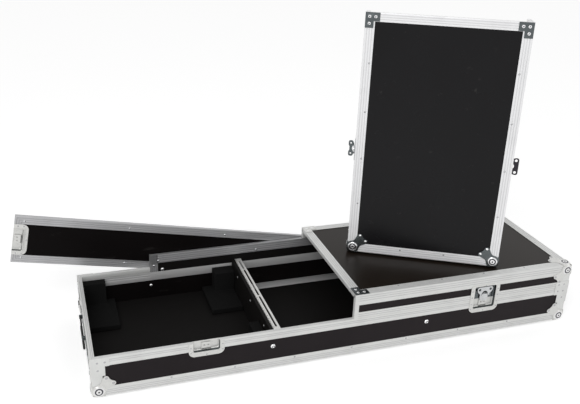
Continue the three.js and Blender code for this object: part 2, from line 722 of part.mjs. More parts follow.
// All the aluminium of a lid: top angles, upright corner angles, rim channel,
// and the channels that finish the open inner end.
function lidFrame() {
  const low = SPLIT - OVERRUN;
  const { face, side } = LID_END;
  let frame = cut(
    box(0, HL, -HD, HD, SPLIT + FLANGE, TOP),
    box(-OVERRUN, PX, -PY, PY, low, TOP - ALU),
    box(face, HL - FLANGE, -(HD - FLANGE), HD - FLANGE, TOP - OVERRUN, TOP + OVERRUN),
    box(-OVERRUN, HL - FLANGE, -HD - OVERRUN, HD + OVERRUN, low, TOP - FLANGE),
    box(HL - OVERRUN, HL + OVERRUN, -(HD - FLANGE), HD - FLANGE, low, TOP - FLANGE),
  );
  const ring = cut(
    channelRing(SPLIT, -1),
    box(-HL - OVERRUN, 0, -HD - OVERRUN, HD + OVERRUN, low, TOP),
    overInsert(),
    latchNotch(LATCH_X, -1, low, latchTop),
  );
  frame = join(
    frame,
    ring,
    box(0, ALU, -HD, HD, TOP - SKIN, TOP),
    box(0, side, -(HD - SKIN), HD - SKIN, TOP - SKIN, TOP - SHELL),
    box(0, ALU, -HD, -(HD - SKIN), SPLIT, TOP),
    box(0, side, -HD, -PY, SPLIT, TOP),
    box(0, side, -(HD - SHELL), -(HD - SKIN), SPLIT, TOP - SHELL),
    box(0, ALU, HD - SKIN, HD, NOTCH_Z, TOP),
    box(0, side, PY, HD, NOTCH_Z, TOP),
    box(0, side, HD - SKIN, HD - SHELL, NOTCH_Z, TOP - SHELL),
  );
  const inset = HD - LID_RIVET.inset;
  for (const x of pitched(LID_RIVET.pitch, HL - CORNER.lobe).filter((at) => at > 0)) {
    frame = join(frame, rivet("z", TOP, [x, -inset], 1), rivet("z", TOP, [x, inset], 1));
  }
  for (const y of [-LID_RIVET.endY, LID_RIVET.endY]) {
    frame = join(frame, rivet("z", TOP, [HL - LID_RIVET.inset, y], 1));
  }
  for (const sy of [-1, 1]) frame = join(frame, atCorner(brace(BRACE.lidBand, 0), 1, sy));
  return frame;
}

// Flat steel plate over the mitre at a lid's inner end.
function innerPlate(sy) {
  const { edge, long, leg, deep, thick } = LID_PLATE;
  const at = (inset) => sy * (HD - inset);
  const face = TOP + GAP + thick;
  let body = prism("xy", [
    [edge, at(edge)], [long, at(edge)], [long, at(leg)], [leg, at(leg)], [leg, at(deep)], [edge, at(deep)],
  ], TOP + GAP, face);
  for (const [x, inset] of [[leg / 2, leg / 2], [long - leg / 2, leg / 2], [leg / 2, deep - leg / 2]]) {
    body = join(body, rivet("z", face, [x, at(inset)], 1, PLATE_RIVET));
  }
  return body;
}

function backLatchPlate() {
  const { half, tall, bevel, plate, rivetX } = BACK_LATCH;
  const outline = [
    [-half, bevel - tall], [bevel - half, -tall], [half - bevel, -tall], [half, bevel - tall],
    [half, tall - bevel], [half - bevel, tall], [bevel - half, tall], [-half, tall - bevel],
  ];
  let body = prism("xz", outline, -plate, 0);
  for (const x of [-rivetX, rivetX]) body = join(body, rivet("y", -plate, [x, 0], -1, PLATE_RIVET));
  return body;
}

// Spindle and wing. Closed: the cam points down and the wing lies flat. Open:
// half a turn round, with the wing folded out.
function addLatch(parent, side, where, y, z, hubEnd, down) {
  const open = side === "left";
  const turn = new THREE.Group();
  turn.position.set(0, y, z);
  turn.rotation.y = open ? Math.PI : 0;
  parent.add(turn);
  piece(turn, `${side}_lid_latch_spindle_${where}`, spindle(hubEnd), ZINC);
  const hinge = new THREE.Group();
  hinge.position.set(0, PIN.depth, 0);
  hinge.rotation.y = down ? Math.PI : 0;
  turn.add(hinge);
  const fold = new THREE.Group();
  fold.rotation.x = open ? Math.PI / 2 : 0;
  hinge.add(fold);
  piece(fold, `${side}_lid_latch_wing_${where}`, wing(), STEEL);
}

function halfLid(side) {
  const group = new THREE.Group();
  const sign = side === "left" ? -1 : 1;
  const place = (name, body, look) =>
    piece(group, `${side}_lid_${name}`, sign < 0 ? mirrored(body, "x") : body, look);

  place("top_panel", lidTopPanel(), LAMINATE);
  place("side_walls", lidWalls(), LAMINATE);
  place("frame", lidFrame(), ALUMINIUM);
  for (const [where, sy] of [["front", -1], ["back", 1]]) {
    place(`ball_corner_${where}`, atCorner(shifted(ballCorner(TOP, 1), GAP), 1, sy), ZINC);
    place(`inner_plate_${where}`, innerPlate(sy), STEEL);
  }

  const frontFace = new THREE.Group();
  frontFace.position.set(sign * LATCH_X, -HD - GAP, 0);
  group.add(frontFace);
  piece(frontFace, `${side}_lid_latch_dish_front`, pan(SPLIT, 1, LATCH_PAN, PAN_DEPTH), ZINC);
  addLatch(frontFace, side, "front", 0, SPLIT + LATCH_RISE, PAN_DEPTH - HUB.clear, false);

  const backFace = new THREE.Group();
  backFace.position.set(sign * BACK_LATCH.x, HD + GAP, SPLIT + BACK_LATCH.rise);
  backFace.rotation.z = Math.PI;
  group.add(backFace);
  piece(backFace, `${side}_lid_latch_plate_back`, backLatchPlate(), ZINC);
  addLatch(backFace, side, "back", -BACK_LATCH.stand, 0, 0, true);
  return group;
}

// The right lid is closed on the base. The left lid stands on its outer end on
// the right lid's panel, on the two balls of that end and the heads of its
// braces, so it leans back.
function addLids() {
  model.add(halfLid("right"));
  const standing = halfLid("left");
  const outward = new THREE.Vector3(-Math.sin(YAW), -Math.cos(YAW), 0);
  const upward = new THREE.Vector3(0, 0, 1);
  const lengthwise = upward.clone().multiplyScalar(Math.cos(LEAN));
  lengthwise.addScaledVector(outward, -Math.sin(LEAN));
  const facing = outward.clone().multiplyScalar(Math.cos(LEAN));
  facing.addScaledVector(upward, Math.sin(LEAN));
  const across = facing.clone().cross(lengthwise);
  const turned = new THREE.Matrix4().makeBasis(lengthwise, across, facing);
  standing.quaternion.setFromRotationMatrix(turned);
  const ballCentre = CORNER.inset - GAP;
  const ballLow = CORNER.ball - ballCentre * (Math.cos(LEAN) - Math.sin(LEAN));
  const foot = new THREE.Vector3(-HL, 0, TOP).applyMatrix4(turned);
  standing.position.set(STAND.x, STAND.y, TOP - ALU - GAP + SEAT + ballLow).sub(foot);
  model.add(standing);
}

// The rear cover board, off the case and propped behind it against the catch of
// a back keeper, with one corner on the floor.
function addCover() {
  const { long, wide, band, x, drop, rivetPitch, rivetEnd, rivetIn } = COVER;
  const cover = new THREE.Group();
  cover.position.set(x, HD + BACK_KEEPER.catchOut + SEAT - ALU, -ALU - drop);
  cover.rotation.y = COVER_TURN;
  model.add(cover);

  const middle = wide / 2;
  const side = PAN.recess + PAN.wall + 2 * SEAT;
  const deep = COVER_PAN_DEPTH + PAN.wall;
  const dishEnd = KEEPER_PAN.recess + PAN.wall + 2 * SEAT - long;
  const dishHole = box(-long - OVERRUN, dishEnd, -OVERRUN, deep, middle - side, middle + side);
  const inset = ALU + SEAT;
  const board = box(inset - long, -inset, ALU, COVER_THICK - ALU, inset, wide - inset);
  piece(cover, "cover_board", cut(board, dishHole), LAMINATE);

  const skin = ALU - SEAT;
  let frame = cut(
    box(-long, 0, 0, COVER_THICK, 0, wide),
    box(band - long, -band, -OVERRUN, COVER_THICK + OVERRUN, band, wide - band),
    box(ALU - long, -ALU, skin, COVER_THICK - skin, ALU, wide - ALU),
    dishHole,
  );
  for (let at = rivetEnd; at < long; at += rivetPitch) {
    frame = join(frame, rivet("y", 0, [at - long, rivetIn], -1));
    frame = join(frame, rivet("y", 0, [at - long, wide - rivetIn], -1));
  }
  piece(cover, "cover_frame", frame, ALUMINIUM);

  // Its end dish is a keeper half laid on its side, open at the board's end.
  const endDish = new THREE.Group();
  endDish.position.set(-long, -SEAT, middle);
  endDish.rotation.y = Math.PI / 2;
  cover.add(endDish);
  const dish = join(pan(0, 1, KEEPER_PAN, COVER_PAN_DEPTH), keeperTab(0, 1, COVER_PAN_DEPTH));
  piece(endDish, "cover_end_dish", dish, ZINC);
}

addTray();
addEdgeFrame();
addRimFrame();
for (const [name, sx, sy] of CORNERS) {
  piece(base, `base_ball_corner_${name}`, atCorner(ballCorner(-ALU, -1), sx, sy), ZINC);
}
addRearInsert();
addMixerBay();
addSupports();
addKeepers();
addHandles();
addLids();
addCover();

export default model;
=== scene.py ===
"""A flight case for two turntables and a mixer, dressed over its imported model.

The base tray lies on the floor, the right half lid is closed on it, the left half lid stands on its
outer end on top of the right one, and a loose rear cover board leans behind. Sizes are millimetres
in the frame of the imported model: X along the case, Y from the front to the back, Z up.
"""

import json
import logging
import math
from collections.abc import Sequence
from dataclasses import dataclass
from enum import Enum

import bmesh
import bpy
import numpy as np
from mathutils import Matrix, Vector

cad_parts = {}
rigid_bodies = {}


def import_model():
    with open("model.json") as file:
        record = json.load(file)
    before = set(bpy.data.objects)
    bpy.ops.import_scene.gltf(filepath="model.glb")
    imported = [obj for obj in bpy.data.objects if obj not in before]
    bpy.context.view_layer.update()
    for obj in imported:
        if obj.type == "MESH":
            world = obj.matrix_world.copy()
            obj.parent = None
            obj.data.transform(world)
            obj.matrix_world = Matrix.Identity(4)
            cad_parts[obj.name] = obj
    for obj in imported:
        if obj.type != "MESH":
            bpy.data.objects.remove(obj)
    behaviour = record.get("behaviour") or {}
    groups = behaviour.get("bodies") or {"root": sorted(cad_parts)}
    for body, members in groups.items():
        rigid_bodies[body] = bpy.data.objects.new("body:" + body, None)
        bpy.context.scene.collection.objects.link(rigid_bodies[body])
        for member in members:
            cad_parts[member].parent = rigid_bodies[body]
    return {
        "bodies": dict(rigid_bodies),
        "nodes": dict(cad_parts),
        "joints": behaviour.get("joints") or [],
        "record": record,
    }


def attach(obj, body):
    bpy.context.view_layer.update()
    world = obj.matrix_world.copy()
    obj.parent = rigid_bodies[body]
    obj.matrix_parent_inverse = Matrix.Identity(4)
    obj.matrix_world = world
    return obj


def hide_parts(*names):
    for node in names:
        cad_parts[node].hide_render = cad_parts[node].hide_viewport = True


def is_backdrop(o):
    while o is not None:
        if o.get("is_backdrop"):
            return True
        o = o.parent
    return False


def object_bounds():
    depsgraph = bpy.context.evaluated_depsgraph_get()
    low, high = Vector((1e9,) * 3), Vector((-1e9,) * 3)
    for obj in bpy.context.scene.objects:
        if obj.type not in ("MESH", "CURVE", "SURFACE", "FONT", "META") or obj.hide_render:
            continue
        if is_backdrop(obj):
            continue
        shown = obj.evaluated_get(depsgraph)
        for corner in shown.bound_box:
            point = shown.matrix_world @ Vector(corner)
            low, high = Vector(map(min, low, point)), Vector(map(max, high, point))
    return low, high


LOG = logging.getLogger("coffin_case")
MM = 0.001
Array = np.ndarray
Vec = Sequence[float]
Lines = tuple[Vec, Vec]
Pair = tuple[float, float]
Triple = tuple[float, float, float]
Colour = Triple
Value = "Sock | float | Vec"
BOTH = (-1, 1)
UP = (0.0, 0.0, 1.0)
DOWN = (0.0, 0.0, -1.0)


class Side(Enum):
    """The two ends of the case, with the sign of their X."""

    LEFT = -1
    RIGHT = 1

    @property
    def word(self) -> str:
        """The side's name as the nodes spell it."""
        return self.name.lower()


class Depth(Enum):
    """The front and the back of the case, with the sign of their Y."""

    FRONT = -1
    BACK = 1

    @property
    def word(self) -> str:
        """The place's name as the nodes spell it."""
        return self.name.lower()


@dataclass(frozen=True)
class Case:
    """The driving sizes, which every sub-assembly shares."""

    length: float = 1540.0
    depth: float = 484.0
    split: float = 122.5
    lid_height: float = 82.0
    ply: float = 10.0
    wall: float = 1.5
    flange: float = 30.0
    lip: float = 16.0
    seat: float = 0.3
    gap: float = 0.25
    trim: float = 16.0
    latch_x: float = 450.0
    notch_half: float = 39.8

    @property
    def end(self) -> float:
        """Half the length over the aluminium."""
        return self.length / 2

    @property
    def side(self) -> float:
        """Half the depth over the aluminium."""
        return self.depth / 2

    @property
    def top(self) -> float:
        """Height of the closed lid's outer face."""
        return self.split + self.lid_height

    @property
    def shell(self) -> float:
        """From the outside to a panel's inner face."""
        return self.ply + self.wall

    @property
    def skin(self) -> float:
        """Width of a channel over a panel."""
        return self.shell + self.wall

    @property
    def cut(self) -> Pair:
        """Where the front profiles stop and go on at a latch."""
        return self.latch_x - self.notch_half, self.latch_x + self.notch_half


CASE = Case()


# Shader arithmetic and finishes.


class Sock:
    """A shader socket that takes part in Python arithmetic; each operator adds one Math node."""

    def __init__(self, shader: "Shader", socket: bpy.types.NodeSocket) -> None:
        """Wraps a socket of the shader's tree."""
        self.shader = shader
        self.socket = socket

    def maths(self, operation: str, first: Value, second: Value) -> "Sock":
        """One Math node of that operation on two values."""
        return self.shader.node("ShaderNodeMath", {"operation": operation}, {0: first, 1: second})

    def __add__(self, other: Value) -> "Sock":
        """self + other."""
        return self.maths("ADD", self, other)

    def __radd__(self, other: Value) -> "Sock":
        """other + self."""
        return self.maths("ADD", other, self)

    def __sub__(self, other: Value) -> "Sock":
        """self - other."""
        return self.maths("SUBTRACT", self, other)

    def __rsub__(self, other: Value) -> "Sock":
        """other - self."""
        return self.maths("SUBTRACT", other, self)

    def __mul__(self, other: Value) -> "Sock":
        """self * other."""
        return self.maths("MULTIPLY", self, other)

    def __rmul__(self, other: Value) -> "Sock":
        """other * self."""
        return self.maths("MULTIPLY", other, self)

    def larger(self, other: Value) -> "Sock":
        """The larger of the two."""
        return self.maths("MAXIMUM", self, other)


class Shader:
    """A node tree that is written as expressions."""

    def __init__(self, tree: bpy.types.NodeTree) -> None:
        """Empties the tree."""
        self.tree = tree
        tree.nodes.clear()

    def node(
        self,
        kind: str,
        settings: dict[str, object] | None = None,
        inputs: dict[str | int, Value] | None = None,
        out: str | int = 0,
    ) -> "Sock | None":
        """Adds one node.

        Args:
            kind: the node's type.
            settings: its properties, set first.
            inputs: values or links of its sockets.
            out: the output that is wanted.

        Returns:
            That output, or None on a node that has none.
        """
        made = self.tree.nodes.new(kind)
        for name, value in (settings or {}).items():
            setattr(made, name, value)
        for name, value in (inputs or {}).items():
            if isinstance(value, Sock):
                self.tree.links.new(value.socket, made.inputs[name])
            else:
                made.inputs[name].default_value = value
        return Sock(self, made.outputs[out]) if len(made.outputs) else None

    def scaled(self, source: str, scale: Vec) -> Sock:
        """Texture coordinates of that kind, stretched by a Mapping node."""
        place = self.node("ShaderNodeTexCoord", out=source)
        return self.node("ShaderNodeMapping", inputs={"Vector": place, "Scale": scale})

    def noise(self, place: Sock, scale: float, detail: float, rough: float = 0.5) -> Sock:
        """Noise from 0 to 1 on those coordinates."""
        return self.node(
            "ShaderNodeTexNoise",
            inputs={"Vector": place, "Scale": scale, "Detail": detail, "Roughness": rough},
        )

    def stretch(self, value: Sock, low: float, high: float) -> Sock:
        """Maps low..high to 0..1 and stops there."""
        return self.node(
            "ShaderNodeMapRange",
            {"interpolation_type": "SMOOTHSTEP"},
            {"Value": value, "From Min": low, "From Max": high},
        )

    def mix(self, factor: Value, first: Value, second: Value) -> Sock:
        """A colour between two colours."""
        return self.node(
            "ShaderNodeMix", {"data_type": "RGBA"}, {0: factor, 6: first, 7: second}, out=2
        )

    def bump(self, height: Sock, strength: float, distance: float) -> Sock:
        """A normal from a height; distance is in metres."""
        return self.node(
            "ShaderNodeBump", inputs={"Height": height, "Strength": strength, "Distance": distance}
        )

    def surface(self, inputs: dict[str | int, Value]) -> None:
        """Ends the tree in a Principled shader with those inputs."""
        skin = self.node("ShaderNodeBsdfPrincipled", inputs=inputs)
        self.node("ShaderNodeOutputMaterial", inputs={"Surface": skin})


def rgb(colour: Vec, scale: float = 1.0) -> tuple[float, float, float, float]:
    """A colour with full alpha, made darker or lighter by a factor."""
    return (colour[0] * scale, colour[1] * scale, colour[2] * scale, 1.0)


@dataclass(frozen=True)
class Finish:
    """A surface finish, made into a material once."""

    name: str
    colour: Colour
    roughness: float
    shine: float = 0.5

    def material(self) -> bpy.types.Material:
        """Builds the finish's material at its first use.

        Returns:
            The material, the same one at each call.
        """
        known = bpy.data.materials.get(self.name)
        if known:
            return known
        made = bpy.data.materials.new(self.name)
        made.use_nodes = True
        self.build(Shader(made.node_tree))
        return made

    def tone(self, share: float) -> tuple[float, float, float, float]:
        """The finish's colour, made darker or lighter by a factor."""
        return rgb(self.colour, share)

    def build(self, shader: Shader) -> None:
        """Fills the shader; each kind of finish has its own."""
        raise NotImplementedError


@dataclass(frozen=True)
class Laminate(Finish):
    """Pressed plastic laminate: a fine pebble, faint clouds and a few dull scuffs."""

    pebble: float = 0.35
    cloud: float = 0.3
    scuff: float = 0.25
    scuff_colour: Colour = (0.11, 0.105, 0.1)
    scuff_scale: Triple = (9.0, 70.0, 40.0)
    cell_scale: float = 620.0
    grain_scale: float = 1500.0
    cloud_scale: float = 5.0

    def build(self, shader: Shader) -> None:
        """Pebble from fine cells, clouds from slow noise, scuffs from stretched noise.

        Args:
            shader: the material's tree.
        """
        place = shader.node("ShaderNodeTexCoord", out="Object")
        cells = shader.node(
            "ShaderNodeTexVoronoi", {"feature": "SMOOTH_F1"}, {"Vector": place, "Scale": self.cell_scale}
        )
        grain = shader.noise(place, self.grain_scale, 2.0)
        clouds = shader.noise(place, self.cloud_scale, 4.0)
        scratch = shader.noise(shader.scaled("Object", self.scuff_scale), 1.0, 5.0, 0.7)
        scuffs = shader.stretch(scratch, 0.63, 0.78)
        base = shader.mix(clouds, self.tone(1 - self.cloud), self.tone(1 + self.cloud))
        shader.surface(
            {
                "Base Color": shader.mix(scuffs * self.scuff, base, rgb(self.scuff_colour)),
                "Specular IOR Level": self.shine,
                "Roughness": self.roughness + (clouds - 0.5) * 0.12 + scuffs * 0.2,
                "Normal": shader.bump(cells * 0.7 + grain * 0.3, self.pebble, 0.00025),
            }
        )


@dataclass(frozen=True)
class Drawn(Finish):
    """Drawn aluminium: fine lines run along each length, on the profile's own UV map."""

    metallic: float = 0.25
    lines: float = 0.25
    line_scale: Triple = (3.0, 1300.0, 1.0)
    mark_scale: float = 14.0

    def build(self, shader: Shader) -> None:
        """Lines are noise stretched along U; slow noise adds handling marks.

        Args:
            shader: the material's tree.
        """
        lines = shader.noise(shader.scaled("UV", self.line_scale), 1.0, 3.0, 0.6)
        marks = shader.noise(shader.node("ShaderNodeTexCoord", out="Object"), self.mark_scale, 4.0)
        dull = shader.stretch(marks, 0.45, 0.7)
        base = shader.mix(lines, self.tone(0.9), self.tone(1.04))
        shader.surface(
            {
                "Base Color": shader.mix(dull * 0.35, base, self.tone(0.82)),
                "Metallic": self.metallic,
                "Roughness": self.roughness + (lines - 0.5) * 0.16 + dull * 0.08,
                "Normal": shader.bump(lines, self.lines, 0.00012),
            }
        )


@dataclass(frozen=True)
class Plated(Finish):
    """Plated steel or zinc: clouds of passivation, light dents and dark specks."""

    metallic: float = 0.95
    dark: float = 0.7
    stretch: Triple = (1.0, 1.0, 1.0)
    cloud_scale: float = 55.0
    speck_scale: float = 420.0

    def build(self, shader: Shader) -> None:
        """Clouds and specks are two scales of noise.

        Args:
            shader: the material's tree.
        """
        place = shader.scaled("Object", self.stretch)
        clouds = shader.noise(place, self.cloud_scale, 4.0, 0.6)
        specks = shader.stretch(shader.noise(place, self.speck_scale, 2.0), 0.62, 0.75)
        base = shader.mix(clouds, self.tone(self.dark), self.tone(1.05))
        shader.surface(
            {
                "Base Color": shader.mix(specks * 0.5, base, self.tone(0.35)),
                "Metallic": self.metallic,
                "Roughness": self.roughness + (clouds - 0.5) * 0.2 + specks * 0.1,
                "Normal": shader.bump(clouds, 0.2, 0.0003),
            }
        )


@dataclass(frozen=True)
class Ball(Finish):
    """Plating of a pressed ball, on a UV map whose U is the lean from the nearest disc's axis."""

    rim: Colour = (0.6, 0.6, 0.6)
    # Colour of the ring and the dimple: painted shade and painted reflection.
    ring: Colour = (0.035, 0.035, 0.045)
    disc: float = 37.0
    cloud_scale: float = 90.0

    def build(self, shader: Shader) -> None:
        """Bright on the discs, dark in their ring and dimple as painted shade and painted reflection, and
        the rim's colour between them.

        Args:
            shader: the material's tree.
        """
        place = shader.node("ShaderNodeTexCoord", out="UV")
        lean = shader.node("ShaderNodeSeparateXYZ", inputs={"Vector": place}, out="X") * 100.0
        clouds = shader.noise(shader.node("ShaderNodeTexCoord", out="Object"), self.cloud_scale, 3.0)
        bright = shader.mix(clouds, self.tone(0.85), self.tone(1.05))
        body = shader.mix(shader.stretch(lean, self.disc - 2.0, self.disc + 2.0), bright, rgb(self.rim))
        # Masks of the ring and the dimple, where the dark colour is painted shade and painted reflection.
        groove = shader.stretch(lean, 18.0, 20.5) * (1.0 - shader.stretch(lean, 26.5, 29.0))
        dimple = 1.0 - shader.stretch(lean, 5.5, 8.0)
        shader.surface(
            {
                "Base Color": shader.mix(groove.larger(dimple), body, rgb(self.ring)),
                "Metallic": 0.9,
                "Roughness": self.roughness + (clouds - 0.5) * 0.1,
            }
        )


@dataclass(frozen=True)
class Dull(Finish):
    """Paint, carpet or rubber: a rough nap with slow clouds."""

    nap: float = 500.0
    depth: float = 0.0006
    cloud_scale: float = 12.0

    def build(self, shader: Shader) -> None:
        """The nap is noise at its own scale, the clouds are much wider noise.

        Args:
            shader: the material's tree.
        """
        place = shader.node("ShaderNodeTexCoord", out="Object")
        nap = shader.noise(place, self.nap, 4.0, 0.7)
        clouds = shader.noise(place, self.cloud_scale, 3.0)
        base = shader.mix(nap, self.tone(0.6), self.tone(1.5))
        shader.surface(
            {
                "Base Color": shader.mix(clouds * 0.4, base, self.tone(0.7)),
                "Specular IOR Level": self.shine,
                "Roughness": self.roughness + (nap - 0.5) * 0.15,
                "Normal": shader.bump(nap, 0.5, self.depth),
            }
        )


BOARD = Laminate("laminate_board", (0.014, 0.0105, 0.012), 0.4, 0.12)
# The back panel's and the cover board's laminate: a darker copy of the board laminate, painted shade.
SHADED = Laminate("laminate_back", (0.006, 0.005, 0.005), 0.45, 0.03)
GLOSS = Laminate("laminate_lid", (0.0056, 0.0053, 0.0062), 0.27, 0.17, pebble=0.12)
# The closed lid's top: a lighter, warmer copy of the lid laminate, painted light on its upward face.
LIT_LID_LAMINATE = Laminate("laminate_closed_lid", (0.0135, 0.0095, 0.007), 0.33, 0.11, pebble=0.12)
INSIDE = Dull("inside_paint", (0.008, 0.0074, 0.0072), 0.62, 0.07, nap=260.0, depth=0.0002)
CARPET = Dull("support_carpet", (0.012, 0.012, 0.012), 0.95, 0.02)
ALUMINIUM = Drawn("drawn_aluminium", (0.78, 0.785, 0.77), 0.42)
# Groove faces: a darker copy of the drawn aluminium, painted shade in the grooves with some grime.
ALUMINIUM_GROOVE_SHADE = Drawn("drawn_aluminium_grooves", (0.62, 0.62, 0.62), 0.5)
# The mixer bay's aluminium: a darker copy of the drawn aluminium as painted shade in the bay.
SHADED_SILL = Drawn("sill_aluminium", (0.6, 0.6, 0.6), 0.42)
# The standing lid's aluminium: a lighter copy of the drawn aluminium as painted light, and a lighter copy
# of the groove finish.
LIT_ALUMINIUM = Drawn("bright_aluminium", (0.93, 0.93, 0.94), 0.42)
LIT_ALUMINIUM_GROOVE_SHADE = Drawn("bright_aluminium_grooves", (0.78, 0.78, 0.79), 0.5)
# The insert's and the cover's aluminium: a darker copy of the drawn aluminium as painted shade, low at the
# back.
SHADED_ALUMINIUM = Drawn("worn_aluminium", (0.5, 0.5, 0.51), 0.4, metallic=0.6)
SHADED_ALUMINIUM_GROOVES = Drawn("worn_aluminium_grooves", (0.41, 0.41, 0.42), 0.5, metallic=0.6)
RIVETS = Plated("rivet_heads", (0.5, 0.5, 0.51), 0.3)
RAIL = Plated("rail_aluminium", (0.7, 0.7, 0.68), 0.42, metallic=0.45, dark=0.9, stretch=(1.0, 0.05, 1.0))
ZINC = Plated("bright_zinc", (0.62, 0.63, 0.64), 0.16)
PALE = Plated("pale_zinc", (0.71, 0.71, 0.69), 0.38, metallic=0.55, dark=0.85)
# Zinc darkened as painted shade: the pans' drawn walls, the latch pan's floor, the standing lid's corners
# and its back wing.
SHADED_ZINC = Plated("dark_zinc", (0.13, 0.145, 0.15), 0.25, dark=0.55)
# A near black copy of the wing's metal for the standing lid's front wing: painted shade.
SHADED_WING = Plated("wing_steel", (0.035, 0.03, 0.038), 0.4, metallic=0.6)
STEEL = Plated("plate_steel", (0.12, 0.135, 0.14), 0.32, dark=0.65)
CHROME = Plated("chrome", (0.82, 0.82, 0.83), 0.1, dark=0.9)
PALE_BALL = Ball("ball_zinc", (0.75, 0.75, 0.75), 0.16, rim=(0.66, 0.66, 0.64))
# The standing lid's balls: a dark rim as painted shade.
SHADED_BALL = Ball("ball_chrome", (0.82, 0.82, 0.83), 0.12, rim=(0.17, 0.18, 0.19))
GRIP = Dull("grip_rubber", (0.012, 0.012, 0.012), 0.6, nap=900.0, depth=0.0003)


# Shapes as whole arrays.


def unit(vectors: Vec | Array) -> Array:
    """Each vector divided by its length."""
    vectors = np.asarray(vectors, float)
    return vectors / np.linalg.norm(vectors, axis=-1, keepdims=True)


def rounded(corners: Sequence[Vec] | Array, radii: Vec | float, steps: int) -> Array:
    """An outline with its corners rounded.

    Each corner becomes a quadratic Bezier curve from the point one radius before it to the point
    one radius after it, and a radius is at most 0.48 of the shorter side next to it.

    Args:
        corners: the outline's corners, in order.
        radii: one radius for all, or one each.
        steps: points on each corner.

    Returns:
        The outline's points, steps for each corner.
    """
    points = np.asarray(corners, float)
    before = np.roll(points, 1, axis=0) - points
    after = np.roll(points, -1, axis=0) - points
    sides = np.minimum(np.linalg.norm(before, axis=1), np.linalg.norm(after, axis=1))
    reach = np.minimum(np.broadcast_to(radii, len(points)), 0.48 * sides)[:, None]
    start = points + unit(before) * reach
    end = points + unit(after) * reach
    t = np.linspace(0.0, 1.0, steps)[:, None, None]
    curve = (1 - t) ** 2 * start + 2 * t * (1 - t) * points + t**2 * end
    return curve.transpose(1, 0, 2).reshape(-1, points.shape[1])

def oblong(low: Vec, high: Vec, radius: float, steps: int) -> Array:
    """A rectangle with rounded corners, from its lowest corner to the opposite one."""
    (left, foot), (right, top) = low, high
    return rounded([(left, foot), (right, foot), (right, top), (left, top)], radius, steps)


def circle(radius: float, sides: int) -> Array:
    """Points radius * (cos t, sin t), with t in equal steps of a whole turn."""
    turn = np.linspace(0, 2 * math.pi, sides, endpoint=False)
    return np.stack([np.cos(turn), np.sin(turn)], axis=1) * radius


GROOVE_WIDE = 2.4
GROOVE_DEEP = 0.6
EASED = 0.15
EDGE = 0.5
PROFILE_STEPS = 3
SMOOTH = 32.0
CREASE = 40.0
RIVET_PAINT = 1
# Paint number of groove faces, whose darker finish is painted shade with some grime.
GROOVE_SHADE_PAINT = 2
THREE_LINES = (0.25, 0.5, 0.75)


def grooves(start: Vec, end: Vec, inward: Vec, shares: Vec) -> Array:
    """The corners of shallow grooves along a straight side of a profile.

    A groove is a trapezium: down within a quarter of its width, flat for a half, and up again.

    Args:
        start: the side's first point.
        end: its last point.
        inward: direction into the metal.
        shares: places of the grooves along the side, from 0 to 1.

    Returns:
        Four rows for each groove, whose third value is the groove's number from 1.
    """
    if not shares:
        return np.empty((0, 3))
    start = np.asarray(start, float)
    side = np.asarray(end, float) - start
    centres = np.asarray(shares, float)[:, None] * np.linalg.norm(side)
    places = (centres + np.array([-0.5, -0.25, 0.25, 0.5]) * GROOVE_WIDE).ravel()
    drops = np.tile(np.array([0.0, GROOVE_DEEP, GROOVE_DEEP, 0.0]), len(shares))
    points = start + places[:, None] * unit(side) + drops[:, None] * np.asarray(inward, float)
    return np.column_stack([points, np.repeat(np.arange(1, len(shares) + 1), 4)])


def section(parts: Sequence[Sequence[Vec] | Array], radii: dict[int, float]) -> Array:
    """Joins a profile's parts and rounds its corners; the third value marks the grooves.

    Args:
        parts: rows of plain corners, or what grooves() gives.
        radii: the rounding of a part's first corner by the part's number; others are just eased.

    Returns:
        Points with their groove's number, or 0.
    """
    arrays = [np.asarray(part, float) for part in parts]
    full = [part if part.shape[1] == 3 else np.pad(part, ((0, 0), (0, 1))) for part in arrays]
    starts = np.concatenate([[0], np.cumsum([len(part) for part in full])])
    corners = np.vstack(full)
    round_by = np.full(len(corners), EASED)
    round_by[[starts[k] for k in radii]] = list(radii.values())
    flat = rounded(corners[:, :2], round_by, PROFILE_STEPS)
    return np.column_stack([flat, np.repeat(corners[:, 2], PROFILE_STEPS)])


def angle_profile(flat: float, tall: float, thick: float, lines: Lines = ((), ())) -> Array:
    """An L section with a rounded heel at the origin and grooves on both outer faces.

    Args:
        flat: length of the leg along the first axis.
        tall: length of the leg along the second axis.
        thick: wall.
        lines: shares of the grooves on each leg, from the heel.

    Returns:
        The profile's points.
    """
    first = grooves((0, 0), (flat, 0), (0, 1), lines[0])[::-1]
    second = grooves((0, 0), (0, tall), (1, 0), lines[1])
    tips = [[(0, tall)], [(thick, tall)], [(thick, thick)]]
    parts = [[(flat, thick)], [(flat, 0)], first, [(0, 0)], second, *tips]
    return section(parts, {0: EDGE, 1: EDGE, 3: 2.4, 5: EDGE, 6: EDGE})


def channel_profile(outer: float, inner: float, lines: Lines) -> Array:
    """A U section over a board: outer flange down the second axis, web along the first, inner lip.

    Args:
        outer: height of the outer flange.
        inner: height of the inner lip.
        lines: shares of the grooves on the web and on the outer flange, from the outer heel.

    Returns:
        The profile's points.
    """
    web, thick = CASE.skin, CASE.wall
    first = grooves((0, 0), (web, 0), (0, 1), lines[0])[::-1]
    second = grooves((0, 0), (0, outer), (1, 0), lines[1])
    inside = web - thick
    tips = [[(0, outer)], [(thick, outer)], [(thick, thick), (inside, thick)]]
    parts = [[(inside, inner)], [(web, inner)], [(web, 0)], first, [(0, 0)], second, *tips]
    return section(parts, {0: EDGE, 1: EDGE, 2: 1.4, 4: 2.2, 6: EDGE, 7: EDGE})


